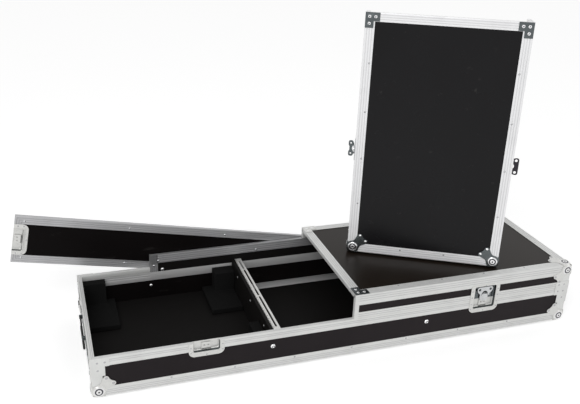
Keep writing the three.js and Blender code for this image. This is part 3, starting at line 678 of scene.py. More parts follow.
def clasp_profile(leg: float, span: Vec, wall: float, heel: float) -> Array:
    """A U section over a board's edge: two legs of one length, with three grooves on each.

    Args:
        leg: length of the legs along the first axis.
        span: places of the two outer faces on the second axis.
        wall: wall.
        heel: rounding of the two heels.

    Returns:
        The profile's points.
    """
    low, high = span
    first = grooves((0, low), (leg, low), (0, 1), THREE_LINES)[::-1]
    second = grooves((0, high), (leg, high), (0, -1), THREE_LINES)
    inside = [(leg, high), (leg, high - wall), (wall, high - wall), (wall, low + wall)]
    parts = [[(leg, low + wall), (leg, low)], first, [(0, low)], [(0, high)], second, inside]
    return section(parts, {2: heel, 3: heel})


def mitres(normals: Array) -> Array:
    """The direction in which a profile's first axis points at each point of a path.

    Inside a path it is (n1 + n2) / (1 + n1.n2) of the two sides' inward normals, so that the cut
    is a true mitre. At an open end it is the side's own normal.

    Args:
        normals: the inward normal of each of the path's sides.

    Returns:
        One direction for each of its points.
    """
    first = np.vstack([normals[:1], normals])
    second = np.vstack([normals, normals[-1:]])
    return (first + second) / (1 + np.sum(first * second, axis=1, keepdims=True))


def plan_normals(path: Array, up: Vec) -> Array:
    """Inward normals of a path's sides: up crossed with the side's direction."""
    return np.cross(np.asarray(up, float), unit(np.diff(path, axis=0)))


class Shape:
    """Collects surfaces in millimetres and makes one mesh of them."""

    def __init__(self) -> None:
        """Starts empty, with the first material slot in use."""
        self.points: list[Array] = []
        self.faces: list[list[int]] = []
        self.maps: list[Array] = []
        self.paints: list[int] = []
        self.total = 0
        self.paint = 0

    def add(self, points: Array, faces: list[list[int]], maps: Array | None = None) -> None:
        """Adds points and faces that count from their own first point.

        Args:
            points: an array of places.
            faces: lists of indices.
            maps: the UV of every corner of every face, in order, or None.
        """
        corners = sum(len(face) for face in faces)
        self.points.append(np.asarray(points, float).reshape(-1, 3))
        self.faces.extend([[i + self.total for i in face] for face in faces])
        self.maps.append(np.zeros((corners, 2)) if maps is None else maps)
        self.paints.extend([self.paint] * len(faces))
        self.total += len(self.points[-1])

    def grid(self, points: Array, uv: Array | None = None, bands: Array | None = None) -> None:
        """Adds a surface of two parameters.

        Quads join neighbours in rows and columns, the columns close on themselves, and the first
        and the last row become faces.

        Args:
            points: rows x columns x 3.
            uv: rows x (columns + 1) x 2, or None.
            bands: a paint number for each column of faces, or None for the present one.
        """
        rows, cols = points.shape[:2]
        index = np.arange(rows * cols).reshape(rows, cols)
        full = np.hstack([index, index[:, :1]])
        quads = np.stack([full[:-1, :-1], full[1:, :-1], full[1:, 1:], full[:-1, 1:]], axis=-1)
        faces = quads.reshape(-1, 4).tolist() + [index[0].tolist(), index[-1].tolist()]
        maps = None
        if uv is not None:
            picked = np.stack([uv[:-1, :-1], uv[1:, :-1], uv[1:, 1:], uv[:-1, 1:]], axis=2)
            maps = np.vstack([picked.reshape(-1, 2), np.zeros((2 * cols, 2))])
        self.add(points, faces, maps)
        if bands is not None:
            self.paints[-len(faces) :] = np.tile(bands, rows - 1).tolist() + [self.paint] * 2

    def sweep(self, path: Array, inward: Array, up: Vec, profile: Array) -> None:
        """Carries a profile along a path.

        A point is the path's point plus the profile's first value along the inward direction
        there plus its second value along up. U is the way along the path, and V the way round
        the profile, both in metres. Between two points of one groove the groove paint is used: a
        darker finish that is painted shade in the groove, with some grime.

        Args:
            path: the path's points.
            inward: direction of the profile's first axis at each of them.
            up: direction of its second axis.
            profile: the profile's points, with their groove's number or without.
        """
        path = np.asarray(path, float)
        across = np.asarray(inward, float)[:, None, :] * profile[None, :, :1]
        points = path[:, None, :] + across + np.asarray(up, float) * profile[None, :, 1:2]
        flat = profile[:, :2]
        round_profile = np.linalg.norm(np.roll(flat, -1, axis=0) - flat, axis=1)
        marks = profile[:, 2] if profile.shape[1] == 3 else np.zeros(len(profile))
        grooved = (marks > 0) & (marks == np.roll(marks, -1))
        steps = np.linalg.norm(np.diff(path, axis=0), axis=1)
        v = np.concatenate([[0.0], np.cumsum(round_profile)]) * MM
        u = np.concatenate([[0.0], np.cumsum(steps)]) * MM + path[0].sum() * MM
        uv = np.stack(np.meshgrid(u, v, indexing="ij"), axis=-1)
        # Groove faces take the groove paint: painted shade with some grime.
        self.grid(points, uv=uv, bands=np.where(grooved, GROOVE_SHADE_PAINT, self.paint))

    def run(self, corners: Sequence[Vec], up: Vec, profile: Array) -> None:
        """Carries a profile along a path of straight sides with mitred corners."""
        path = np.asarray(corners, float)
        self.sweep(path, mitres(plan_normals(path, up)), up, profile)

    def bar(self, start: Vec, end: Vec, inward: Vec, up: Vec, profile: Array) -> None:
        """Carries a profile along one length; inward and up are the ways of its two axes."""
        self.sweep(np.array([start, end], float), np.array([inward, inward], float), up, profile)

    def plate(self, outline: Array, axes: tuple[Vec, Vec], origin: Vec, rise: Vec) -> None:
        """A flat plate whose far edge is rounded.

        Rows are the outline at 0 and 0.7 of the rise, and the outline drawn in by 0.15 and
        0.3 mm at 0.93 and 1 of it.

        Args:
            outline: the plate's outline in its plane.
            axes: directions of the outline's two values.
            origin: where the outline's own origin lies.
            rise: the way from the near face to the far one.
        """
        ahead = unit(np.roll(outline, -1, axis=0) - np.roll(outline, 1, axis=0))
        turn = np.sign(np.sum(np.cross(outline, np.roll(outline, -1, axis=0))))
        inside = np.stack([-ahead[:, 1], ahead[:, 0]], axis=1) * turn
        drawn = np.array([0.0, 0.0, 0.15, 0.3])[:, None, None]
        high = np.array([0.0, 0.7, 0.93, 1.0])[:, None, None]
        flat = (outline + inside * drawn) @ np.asarray(axes, float)
        self.grid(flat + np.asarray(rise, float) * high + np.asarray(origin, float))

    def upright_sheet(self, loops: Sequence[Array], thick: float, y: float) -> None:
        """Adds a cut sheet in the XZ plane, with its near face at that Y."""
        points, faces = cut_sheet(loops, thick)
        self.add(points[:, [0, 2, 1]] + np.array([0.0, y, 0.0]), faces)

    def move(self, place: "Placement") -> None:
        """Puts all that the shape holds so far in that place."""
        self.points = [place.apply(points) for points in self.points]

    def dome(
        self,
        centre: Vec,
        axis: Vec,
        radius: float,
        high: float,
        sides: int = 14,
        dent: float = 0.0,
    ) -> None:
        """A round head on a face.

        It is a profile turned about the axis: the height is high * (1 - (r / radius) ** 2.6), less
        dent * exp(-(r / 0.4 radius) ** 4), and a short skirt goes into what carries it.

        Args:
            centre: its middle on the face.
            axis: which way it stands up.
            radius: its radius.
            high: its height.
            sides: points round it.
            dent: how deep its middle is pressed in.
        """
        axis = unit(axis)
        first = unit(np.cross(axis, (0.31, 0.83, 0.47)))
        second = np.cross(axis, first)
        shares = np.array([0.0, 0.28, 0.42, 0.55, 0.75, 0.9, 1.0, 1.0])
        heights = high * (1 - shares**2.6) - dent * np.exp(-((shares / 0.4) ** 4))
        heights[-1] = -0.5
        turn = np.linspace(0, 2 * math.pi, sides, endpoint=False)
        ring = np.cos(turn)[:, None] * first + np.sin(turn)[:, None] * second
        points = shares[:, None, None] * radius * ring + heights[:, None, None] * axis
        self.grid(points + np.asarray(centre, float))

    def build(
        self,
        name: str,
        body: str,
        slot: str,
        finishes: Sequence[Finish],
        replaced: Sequence[str] = (),
        place: "Placement | None" = None,
    ) -> None:
        """Makes the object, with its doubles merged and its faces pointing out.

        Args:
            name: the piece's name.
            body: the body that it rides on.
            slot: the record's material slot; not used.
            finishes: the finishes, in the order of the paint numbers.
            replaced: nodes that it stands for.
            place: where its own frame lies, or None for the case's frame.
        """
        points = np.vstack(self.points)
        if place is not None:
            points = place.apply(points)
        mesh = bpy.data.meshes.new(name)
        mesh.from_pydata(points * MM, [], self.faces)
        mesh.polygons.foreach_set("material_index", self.paints)
        layer = mesh.uv_layers.new(name="along")
        layer.data.foreach_set("uv", np.vstack(self.maps).ravel())
        for finish in finishes:
            mesh.materials.append(finish.material())
        merge_doubles(mesh, 0.002, outwards=True)
        shade(mesh, SMOOTH)
        enrol(bpy.data.objects.new(name, mesh), body, replaced)

    def press(
        self, node: str, body: str, slot: str, finishes: Sequence[Finish], place: "Placement | None" = None
    ) -> None:
        """Makes the piece that stands for one node, and is named after it."""
        self.build(f"{node}_pressed", body, slot, finishes, [node], place)


def merge_doubles(mesh: bpy.types.Mesh, distance: float, outwards: bool) -> None:
    """Merges a mesh's doubles, then turns its faces outwards or joins its flat faces.

    Args:
        mesh: the mesh that is changed.
        distance: how near doubles lie, in millimetres.
        outwards: whether its faces are turned; else faces within a degree are joined.
    """
    work = bmesh.new()
    work.from_mesh(mesh)
    bmesh.ops.remove_doubles(work, verts=work.verts, dist=distance * MM)
    if outwards:
        bmesh.ops.dissolve_degenerate(work, edges=work.edges, dist=distance * MM)
        bmesh.ops.recalc_face_normals(work, faces=work.faces)
    else:
        flat = math.radians(1.0)
        bmesh.ops.dissolve_limit(work, angle_limit=flat, verts=work.verts, edges=work.edges)
    work.to_mesh(mesh)
    work.free()


def shade(mesh: bpy.types.Mesh, angle: float) -> None:
    """Shades a mesh smoothly, but for edges sharper than an angle in degrees."""
    mesh.polygons.foreach_set("use_smooth", [True] * len(mesh.polygons))
    mesh.set_sharp_from_angle(angle=math.radians(angle))


def enrol(piece: bpy.types.Object, body: str, replaced: Sequence[str]) -> None:
    """Links a piece, lets it ride, and hides the nodes that it stands for.

    Args:
        piece: the new object.
        body: the body that it rides on.
        replaced: the nodes.
    """
    bpy.context.scene.collection.objects.link(piece)
    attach(piece, body)
    if replaced:
        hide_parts(*replaced)
    LOG.info("%s: %d faces, on %s", piece.name, len(piece.data.polygons), body)


def formed_copy(frame: dict, node: str, body: str, finish: Finish, edge: float) -> None:
    """A node's solid, merged, with its edges rounded, in the node's place.

    Args:
        node: the node that is copied and replaced.
        body: its body.
        finish: its finish.
        edge: width of the rounding.
    """
    mesh = frame["nodes"][node].data.copy()
    mesh.name = f"{node}_formed"
    mesh.materials.clear()
    mesh.materials.append(finish.material())
    merge_doubles(mesh, 0.01, outwards=False)
    shade(mesh, CREASE)
    piece = bpy.data.objects.new(f"{node}_formed", mesh)
    bevel = piece.modifiers.new("edges", "BEVEL")
    bevel.width = edge * MM
    bevel.segments = 2
    bevel.limit_method = "ANGLE"
    bevel.angle_limit = math.radians(CREASE)
    enrol(piece, body, [node])


@dataclass(frozen=True)
class Placement:
    """Where a sub-assembly's own frame lies in the case's frame."""

    columns: tuple[Vec, Vec, Vec]
    shift: Vec
    mirror: bool = False

    def apply(self, points: Array) -> Array:
        """The points in the case's frame; a mirrored assembly is flipped along X first."""
        flipped = points * np.array([-1.0 if self.mirror else 1.0, 1.0, 1.0])
        return flipped @ np.array(self.columns, float) + np.asarray(self.shift, float)


# Parts that several assemblies share.

METALS = (ALUMINIUM, RIVETS, ALUMINIUM_GROOVE_SHADE)
SHADED_METALS = (SHADED_ALUMINIUM, ZINC, SHADED_ALUMINIUM_GROOVES)
LIT_METALS = (LIT_ALUMINIUM, RIVETS, LIT_ALUMINIUM_GROOVE_SHADE)
SHADED_SILL_METALS = (SHADED_SILL, RIVETS, ALUMINIUM_GROOVE_SHADE)
# A pan's paint 2 is painted shade on its drawn walls.
PAN_METALS = (PALE, RIVETS, SHADED_ZINC)
CORNER_METALS = (PALE, RIVETS, PALE_BALL)
# The standing lid's corners, down on the lid below, in painted shade.
STANDING_METALS = (SHADED_ZINC, CHROME, SHADED_BALL)

# Heads by radius and height, then the points round them and the dent where these aren't the usual.
RIVET = (3.2, 1.3)
BRIGHT_RIVET = (3.8, 1.6)
SMALL_RIVET = (2.6, 1.1)
EAR_RIVET = (4.3, 1.7)
DIVIDER_RIVET = (4.3, 2.3)
PLATE_RIVET = (4.6, 1.7, 20, 1.6)
BOLT = (7.4, 4.3, 20)
LOW_BOLT = (7.4, 3.9, 20)
SMALL_BOLT = (6.4, 4.3, 20)
KNOB = (10.4, 8.4, 24)

BRACE_LONG = 50.0
BRACE_RIVETS = (18.0, 38.0)


@dataclass(frozen=True)
class BallCorner:
    """A pressed corner: three lobed plates, folds along the edges and a ball over the point."""

    disc: float = 23.0
    ball: float = 25.5
    cut: int = 24
    ring: Triple = (1.5, 23.5, 4.0)
    dimple: Pair = (1.1, 5.5)
    inset: float = 17.6
    inside_share: float = 0.45
    lobe: float = 66.0
    lobe_round: float = 0.11
    plate: float = 1.5
    fold: float = 4.0
    fold_share: float = 0.53
    lobe_shares: tuple[Pair, ...] = (
        (0.035, 0.035), (0.53, 0.035), (0.6, 0.33), (0.91, 0.47), (1.0, 0.56), (0.965, 0.68), (0.82, 0.74),
        (0.74, 0.82), (0.68, 0.965), (0.56, 1.0), (0.47, 0.91), (0.33, 0.6), (0.035, 0.53),
    )
    ear_shares: tuple[Pair, ...] = ((0.88, 0.6), (0.6, 0.88))

    def ball_points(self) -> tuple[Array, Array]:
        """The ball about the corner at the origin, with the case on the negative side.

        Along a direction d from the ball's centre the surface lies at
        (ball ** -cut + sum of (disc / |d|) ** -cut) ** (-1 / cut), a sphere cut by six flat discs
        with soft edges. Round each disc's axis a ring and a small dimple are pressed in, each
        depth * exp(-(lean / width) ** 4). What lies inside the case is drawn to one point within
        the walls.

        Returns:
            The points, and a UV map whose U is a hundredth of the lean from the nearest disc's axis
            in degrees.
        """
        polar = np.linspace(0.0, math.pi, 72)[:, None]
        turn = np.linspace(0.0, 2 * math.pi, 97)[None, :]
        axis = unit((1.0, 1.0, 1.0))
        first = unit((1.0, -1.0, 0.0))
        second = np.cross(axis, first)
        about = np.cos(turn)[..., None] * first + np.sin(turn)[..., None] * second
        d = np.cos(polar)[..., None] * axis + np.sin(polar)[..., None] * about
        near = np.sum((np.abs(d) / self.disc) ** self.cut, axis=-1) + self.ball**-self.cut
        lean = np.degrees(np.arccos(np.clip(d, -1.0, 1.0)))
        ring_deep, ring_angle, ring_wide = self.ring
        dimple_deep, dimple_wide = self.dimple
        pressed = ring_deep * np.exp(-(((lean - ring_angle) / ring_wide) ** 4))
        pressed = pressed + dimple_deep * np.exp(-((lean / dimple_wide) ** 4))
        radius = near ** (-1 / self.cut) - pressed.sum(axis=-1)
        points = radius[..., None] * d - self.inset
        inside = np.full(3, -self.inside_share * self.inset)
        keep = np.clip((points.max(axis=-1, keepdims=True) + 5.0) / 4.0, 0.0, 1.0)
        nearest = lean.min(axis=-1) / 100.0
        uv = np.stack([nearest, np.full_like(nearest, 0.5)], axis=-1)
        return (inside + (points - inside) * keep)[:, :-1], uv

    def draw(self, shape: Shape, corner: Vec, signs: Vec) -> None:
        """Adds the corner to a shape; the rivets have paint 1 and the ball has paint 2.

        Args:
            shape: where it goes.
            corner: the case's corner.
            signs: which way the corner points along X, Y and Z.
        """
        corner = np.asarray(corner, float)
        signs = np.asarray(signs, float)
        sides = [np.roll(np.eye(3), -k, axis=0) * signs for k in range(3)]
        outline = -rounded(self.lobe_shares, self.lobe_round, 5) * self.lobe
        fold = angle_profile(self.fold, self.fold, self.plate)
        for first, second, out in sides:
            shape.plate(outline, (first, second), corner, out * self.plate)
            heel = corner + (second + out) * self.plate
            start, end = heel - first * self.inset, heel - first * self.fold_share * self.lobe
            shape.bar(start, end, -second, -out, fold)
        points, uv = self.ball_points()
        shape.paint = 2
        shape.grid(points * signs + corner, uv=uv)
        shape.paint = RIVET_PAINT
        for first, second, out in sides:
            for a, b in self.ear_shares:
                centre = corner - (first * a + second * b) * self.lobe + out * self.plate
                shape.dome(centre, out, *EAR_RIVET)

    def build(
        self, node: str, body: str, signs: Vec, height: float, finishes: Sequence[Finish],
        place: Placement | None = None,
    ) -> None:
        """Makes the piece over one corner of the case.

        Args:
            node: the node that it replaces.
            body: its body.
            signs: which way the corner points along X, Y and Z.
            height: the corner's height.
            finishes: the plate's, the rivets' and the ball's.
            place: where its assembly's own frame lies, or None.
        """
        shape = Shape()
        corner = (signs[0] * (CASE.end + CASE.gap), signs[1] * (CASE.side + CASE.gap), height)
        self.draw(shape, corner, signs)
        shape.press(node, body, "zinc", finishes, place)


@dataclass(frozen=True)
class Pan:
    """A recessed latch pan, open at the split, where its two halves meet."""

    half: float = 52.0
    recess: float = 38.0
    wall: float = 1.5
    reach: float = 44.0
    deep: float = 29.0
    corner: float = 18.0
    depth: float = 9.7
    rivet_x: float = 46.0
    rivet_heights: Pair = (12.0, 29.0)
    rivet_edge: float = 5.0
    dark_floor: bool = False

    def loop(self, half: float, reach: float, corner: float) -> Array:
        """A U from one end of the split round to the other: straight sides and two round corners.

        Args:
            half: half its width.
            reach: how far it reaches.
            corner: radius of its corners, if there is room.

        Returns:
            Its points.
        """
        corner = max(min(corner, half - 0.5, reach - 0.5), 0.3)
        turn = np.linspace(0, math.pi / 2, 9)
        right = np.stack([half - corner + corner * np.cos(turn), reach - corner + corner * np.sin(turn)], 1)
        left = right[::-1] * np.array([-1.0, 1.0])
        return np.vstack([[(half, 0.0)], right, left, [(-half, 0.0)]])

    def draw(self, shape: Shape) -> None:
        """Adds the pan with the split along the first axis, reaching along the third.

        A closed profile is carried round the U: the flange's edge, a rolled bead, the drawn wall
        with round edges, the floor, and back along the rear side. The outside is at -Y. Paint 1
        is the rivets' and paint 2 is painted shade on the drawn walls, and on the floor of a pan
        with a shaded floor.

        Args:
            shape: where it goes.
        """
        d, wall, face = self.depth, self.wall, -1.5
        flange = ((0.0, 0.0), (0.0, -1.0), (0.6, face))
        well = (
            (3.4, 8.4, face), (2.2, 7.2, -2.1), (0.8, 6.0, -1.9), (0.0, 5.4, -0.7),
            (-0.5, 5.0, 0.5 * d), (-1.0, 4.6, d - 2.0), (-3.0, 4.0, d),
        )
        rear = ((-2.4, 4.6, d + wall), (wall, 6.4, d - 1.0), (wall, 6.4, 0.0))
        rows = [(self.half - drawn, self.reach - drawn, self.corner - drawn, y) for drawn, y in flange]
        rows += [(self.recess + out, self.deep + out, corner, y) for out, corner, y in well]
        rows += [(1.0, 1.0, 0.5, d), (1.0, 1.0, 0.5, d + wall)]
        rows += [(self.recess + out, self.deep + out, corner, y) for out, corner, y in rear]
        loops = [np.insert(self.loop(*sizes), 1, y, axis=1) for *sizes, y in rows]
        # The drawn walls take paint 2 as painted shade, and so does the floor of a pan whose floor is
        # shaded.
        dull, shadow = shape.paint, 2
        floor = shadow if self.dark_floor else dull
        bands = np.array([dull] * 6 + [shadow, shadow, floor, floor] + [dull] * 5)
        shape.grid(np.array(loops).transpose(1, 0, 2), bands=bands)
        shape.paint = RIVET_PAINT
        for x in (-self.rivet_x, self.rivet_x):
            for z in self.rivet_heights:
                shape.dome((x, face, z), (0, -1, 0), *SMALL_RIVET)
        shape.dome((0, face, self.reach - self.rivet_edge), (0, -1, 0), *SMALL_RIVET)
        shape.paint = dull


@dataclass(frozen=True)
class Tab:
    """The catch inside a keeper pan: a bent strip with two holes."""

    half: float = 14.0
    low: float = 4.0
    high: float = 26.0
    thick: float = 1.4
    stand: float = 2.8
    hole: float = 2.4
    hole_x: float = 6.0
    hole_at: float = 13.0
    foot: float = 3.0
    bite: float = 0.4

    def draw(self, shape: Shape, depth: float) -> None:
        """Adds the strip in front of the pan's floor, with its foot at the far end.

        Args:
            shape: where it goes.
            depth: how deep the floor lies.
        """
        outline = oblong((-self.half, self.low), (self.half, self.high), 2.5, 5)
        holes = [circle(self.hole, 16) + np.array([sign * self.hole_x, self.hole_at]) for sign in BOTH]
        front = depth - self.stand
        shape.upright_sheet([outline, *holes], self.thick, front)
        foot = oblong((front, 0), (depth + self.bite, self.foot), 0.4, 3)
        low = self.high - self.foot
        shape.bar((-self.half, 0, low), (self.half, 0, low), (0, 1, 0), UP, foot)


def keeper(pan: Pan) -> Shape:
    """A keeper pan with its tab, as a new shape.

    Args:
        pan: the pan.

    Returns:
        The shape.
    """
    shape = Shape()
    pan.draw(shape)
    Tab().draw(shape, pan.depth)
    return shape


def cut_sheet(loops: Sequence[Array], thick: float) -> tuple[Array, list[list[int]]]:
    """A flat sheet with holes, filled by a flat curve: its first loop is the edge, the others holes.

    Args:
        loops: outlines in the plane.
        thick: from 0 up along the third axis.

    Returns:
        Points and faces.
    """
    curve = bpy.data.curves.new("sheet_outline", "CURVE")
    curve.dimensions = "2D"
    curve.fill_mode = "BOTH"
    curve.extrude = thick / 2
    for loop in loops:
        spline = curve.splines.new("POLY")
        spline.points.add(len(loop) - 1)
        rows = np.hstack([loop, np.zeros((len(loop), 1)), np.ones((len(loop), 1))])
        spline.points.foreach_set("co", rows.ravel())
        spline.use_cyclic_u = True
    holder = bpy.data.objects.new("sheet_outline", curve)
    bpy.context.scene.collection.objects.link(holder)
    filled = holder.evaluated_get(bpy.context.evaluated_depsgraph_get())
    mesh = bpy.data.meshes.new_from_object(filled)
    points = np.empty(len(mesh.vertices) * 3)
    mesh.vertices.foreach_get("co", points)
    faces = [list(face.vertices) for face in mesh.polygons]
    bpy.data.objects.remove(holder)
    bpy.data.curves.remove(curve)
    bpy.data.meshes.remove(mesh)
    return points.reshape(-1, 3) + np.array([0, 0, thick / 2]), faces


@dataclass(frozen=True)
class Wing:
    """A folding wing on its pin: a flat sheet with a cut-out, two finger holes and two barrels."""

    half_outline: tuple[Triple, ...]
    cut: Pair
    hole: Triple
    foot: float = 1.9
    thick: float = 1.6
    barrel: float = 2.0
    barrel_span: Pair = (10.2, 17.5)

    def draw(self, shape: Shape) -> None:
        """Adds the wing with its pin along X, its sheet in the XZ plane and its reach along Z.

        The outline is one half's rounded corners, the same mirrored, and the cut-out's arch
        (-a cos t, b sin t - foot) for t from 0 to pi.

        Args:
            shape: where it goes.
        """
        half = np.array(self.half_outline)
        corners = np.vstack([half, half[::-1] * np.array([-1.0, 1.0, 1.0])])
        wide, deep = self.cut
        arc = np.linspace(0, math.pi, 13)
        arch = np.stack([-wide * np.cos(arc), deep * np.sin(arc) - self.foot], axis=1)
        outline = np.vstack([rounded(corners[:, :2], corners[:, 2], 6), arch])
        radius, across, up = self.hole
        holes = [circle(radius, 14) + np.array([sign * across, up]) for sign in BOTH]
        shape.upright_sheet([outline, *holes], self.thick, -self.thick / 2)
        near, far = self.barrel_span
        for sign in BOTH:
            shape.bar((sign * near, 0, 0), (sign * far, 0, 0), (0, 1, 0), UP, circle(self.barrel, 14))


FRONT_WING = Wing(
    ((16.5, -1.9, 0.3), (16.5, 3.0, 2.0), (27.5, 13.0, 7.0), (27.5, 28.5, 8.0)),
    (12.0, 17.0),
    (4.4, 19.2, 19.5),
)
BACK_WING = Wing(
    (
        (16.5, -1.9, 0.3), (19.0, -0.5, 2.0), (25.5, 2.5, 6.0),
        (25.5, 15.5, 7.0), (10.0, 15.5, 3.0), (7.0, 12.5, 3.0),
    ),
    (9.0, 6.0),
    (2.6, 16.8, 8.0),
)


def brace(shape: Shape, signs: Vec, long: float, span: Vec, rivet_z: float, reaches: Vec) -> None:
    """A flat band riveted round an upright edge of the case; its rivets have paint 1.

    Args:
        shape: where it goes.
        signs: which corner, along X and Y.
        long: reach along each wall.
        span: its lower and its upper edge.
        rivet_z: height of its rivets.
        reaches: their distances from the edge.
    """
    thick = CASE.wall
    x, y = signs[0] * (CASE.end + thick), signs[1] * (CASE.side + thick)
    profile = angle_profile(long + thick, long + thick, thick)
    shape.bar((x, y, span[0]), (x, y, span[1]), (-signs[0], 0, 0), (0, -signs[1], 0), profile)
    dull = shape.paint
    shape.paint = RIVET_PAINT
    for reach in reaches:
        shape.dome((signs[0] * (CASE.end - reach), y, rivet_z), (0, signs[1], 0), *RIVET)
        shape.dome((x, signs[1] * (CASE.side - reach), rivet_z), (signs[0], 0, 0), *RIVET)
    shape.paint = dull


@dataclass
class Base:
    """The tray with its profiles, insert, mixer bay, keepers and handles."""

    frame: dict
    pitch: float = 184.0
    rivet_in: float = 5.5
    end_rivet_y: float = 110.0
    insert_half: float = 536.0
    insert_top: float = 168.0
    insert_stile: float = 26.0
    insert_head: float = 30.0
    insert_heel: float = 0.8
    insert_rivets: tuple[float, ...] = (-0.948, -0.317, 0.317, 0.948)
    insert_rivet_in: float = 22.0
    sill_web: float = 78.0
    sill_top: float = 106.0
    sill_low: float = 58.0
    sill_high: float = 96.0
    bay_half: float = 247.0
    rail_wide: float = 22.0
    rail_deep: float = 37.0
    rail_thick: float = 2.0
    rail_slot: Pair = (231.5, 237.5)
    rail_hole_x: float = 242.5
    rail_hole: float = 1.7
    rail_hole_pitch: float = 15.9
    rail_bridge_shares: tuple[float, ...] = (-0.122, 0.622)
    rail_bridge: float = 6.0
    rail_margin: float = 16.7
    rail_top: float = 119.0
    strip_deep: float = 39.0
    strip_thick: float = 1.5
    rim_flange: float = 26.0
    rim_lines: Lines = ((0.36, 0.7), (0.28, 0.5))
    edge_lines: Lines = ((0.3, 0.6), (0.2, 0.4, 0.6))
    sill_lines: tuple[float, ...] = (0.25, 0.5)
    band: float = 26.5
    foot_band: float = 57.0
    foot_band_long: float = 38.0
    foot_rivet: float = 38.0
    front_bolts: Pair = (252.0, 71.0)
    back_bolts: Pair = (252.0, 40.0)
    wall_bolts: Pair = (535.0, 56.0)
    insert_bolts: Pair = (495.0, 112.0)
    knob: Pair = (152.0, 72.0)
    divider_rivets: tuple[float, ...] = (0.61, -0.04, -0.66)
    divider_rivet_z: float = 92.0

    @property
    def notch_x(self) -> float:
        """Where the rim stops beside the insert."""
        return self.insert_half + 2 * CASE.seat

    def edge_frame(self) -> None:
        """Bottom angles between the ball corners, upright corner angles and their rivets."""
        shape = Shape()
        low, flange = -CASE.wall, CASE.flange
        end, side = CASE.end - CASE.trim, CASE.side - CASE.trim
        angle = angle_profile(flange, flange, CASE.wall, self.edge_lines)
        for sign in BOTH:
            x, y = sign * CASE.end, sign * CASE.side
            shape.bar((-end, y, low), (end, y, low), (0, -sign, 0), UP, angle)
            shape.bar((x, -side, low), (x, side, low), (-sign, 0, 0), UP, angle)
        upright = angle_profile(flange, flange, CASE.wall)
        foot, head = flange - CASE.wall, CASE.split - self.rim_flange
        for x in BOTH:
            for y in BOTH:
                edge = (x * CASE.end, y * CASE.side)
                shape.bar((*edge, foot), (*edge, head), (-x, 0, 0), (0, -y, 0), upright)
        shape.paint = RIVET_PAINT
        rivet_z = foot - self.rivet_in
        for k in range(-3, 4):
            for sign in BOTH:
                shape.dome((k * self.pitch, sign * CASE.side, rivet_z), (0, sign, 0), *RIVET)
        for y in (-self.end_rivet_y, self.end_rivet_y):
            for sign in BOTH:
                shape.dome((sign * CASE.end, y, rivet_z), (sign, 0, 0), *RIVET)
        shape.build("base_bottom_angles", "base", "aluminium", METALS, ["base_edge_frame"])

    def rim_frame(self) -> None:
        """The rim channel, broken at the keeper pans and the insert, with the riveted braces."""
        shape = Shape()
        end, side, top = CASE.end, CASE.side, CASE.split
        rim = channel_profile(self.rim_flange, CASE.lip, self.rim_lines)
        near, far = CASE.cut
        left = [(-far, -side, top), (-end, -side, top), (-end, side, top), (-self.notch_x, side, top)]
        right = [(self.notch_x, side, top), (end, side, top), (end, -side, top), (far, -side, top)]
        middle = [(near, -side, top), (-near, -side, top)]
        for path in (left, right, middle):
            shape.run(path, DOWN, self.facing_in(path, rim))
        lip = oblong((0, 0), (CASE.wall, CASE.lip), 0.4, 3)
        inner = -side + CASE.shell
        for sign in BOTH:
            shape.bar((sign * near, inner, top), (sign * far, inner, top), (0, 1, 0), DOWN, lip)
        high, low = top - self.band, top - self.foot_band
        for x in BOTH:
            for y in BOTH:
                brace(shape, (x, y), BRACE_LONG, (high, top), top - self.band / 2, BRACE_RIVETS)
                rivet_z = top - self.foot_rivet
                brace(shape, (x, y), self.foot_band_long, (low, high), rivet_z, BRACE_RIVETS[:1])
        shape.build("base_rim_channel", "base", "aluminium", METALS, ["base_rim_frame"])

    @staticmethod
    def facing_in(path: Sequence[Vec], profile: Array) -> Array:
        """Turns a profile so that its first axis points into the case.

        Args:
            path: the rim's path.
            profile: the profile.

        Returns:
            The profile as it is where the path's normals point inwards, else flipped.
        """
        points = np.asarray(path, float)
        inward = -points[:2].mean(axis=0) * np.array([1.0, 1.0, 0.0])
        sign = 1.0 if plan_normals(points, DOWN)[0] @ inward > 0 else -1.0
        return profile * np.array([sign, 1.0, 1.0])

    def sill(self) -> None:
        """The sill profile under the insert, and its inner band on towards the end walls."""
        half, side, thick, web = self.insert_half, CASE.side, CASE.wall, self.sill_web
        outside, board, face = side - thick, side - CASE.shell, side - CASE.skin
        foot = web - thick
        corners = [
            (side, self.sill_low), (side, self.sill_high), (outside, self.sill_high), (outside, web),
            (board, web), (board, self.sill_top), (face, self.sill_top), (face, foot),
            (outside, foot), (outside, self.sill_low),
        ]
        shape = Shape()
        shape.bar((-half, 0, 0), (half, 0, 0), (0, 1, 0), UP, rounded(corners, 0.5, 3))
        lines = grooves((face, self.sill_top), (face, foot), (1, 0), self.sill_lines)
        head = [(face + thick, self.sill_top), (face, self.sill_top)]
        band = section([head, lines, [(face, foot), (face + thick, foot)]], {})
        reach = CASE.end - CASE.shell
        for sign in BOTH:
            shape.bar((sign * half, 0, 0), (sign * reach, 0, 0), (0, 1, 0), UP, band)
        # The sill takes the darker copy of the aluminium: painted shade.
        shape.build("rear_sill_channel", "base", "aluminium", SHADED_SILL_METALS, ["rear_sill_profile"])

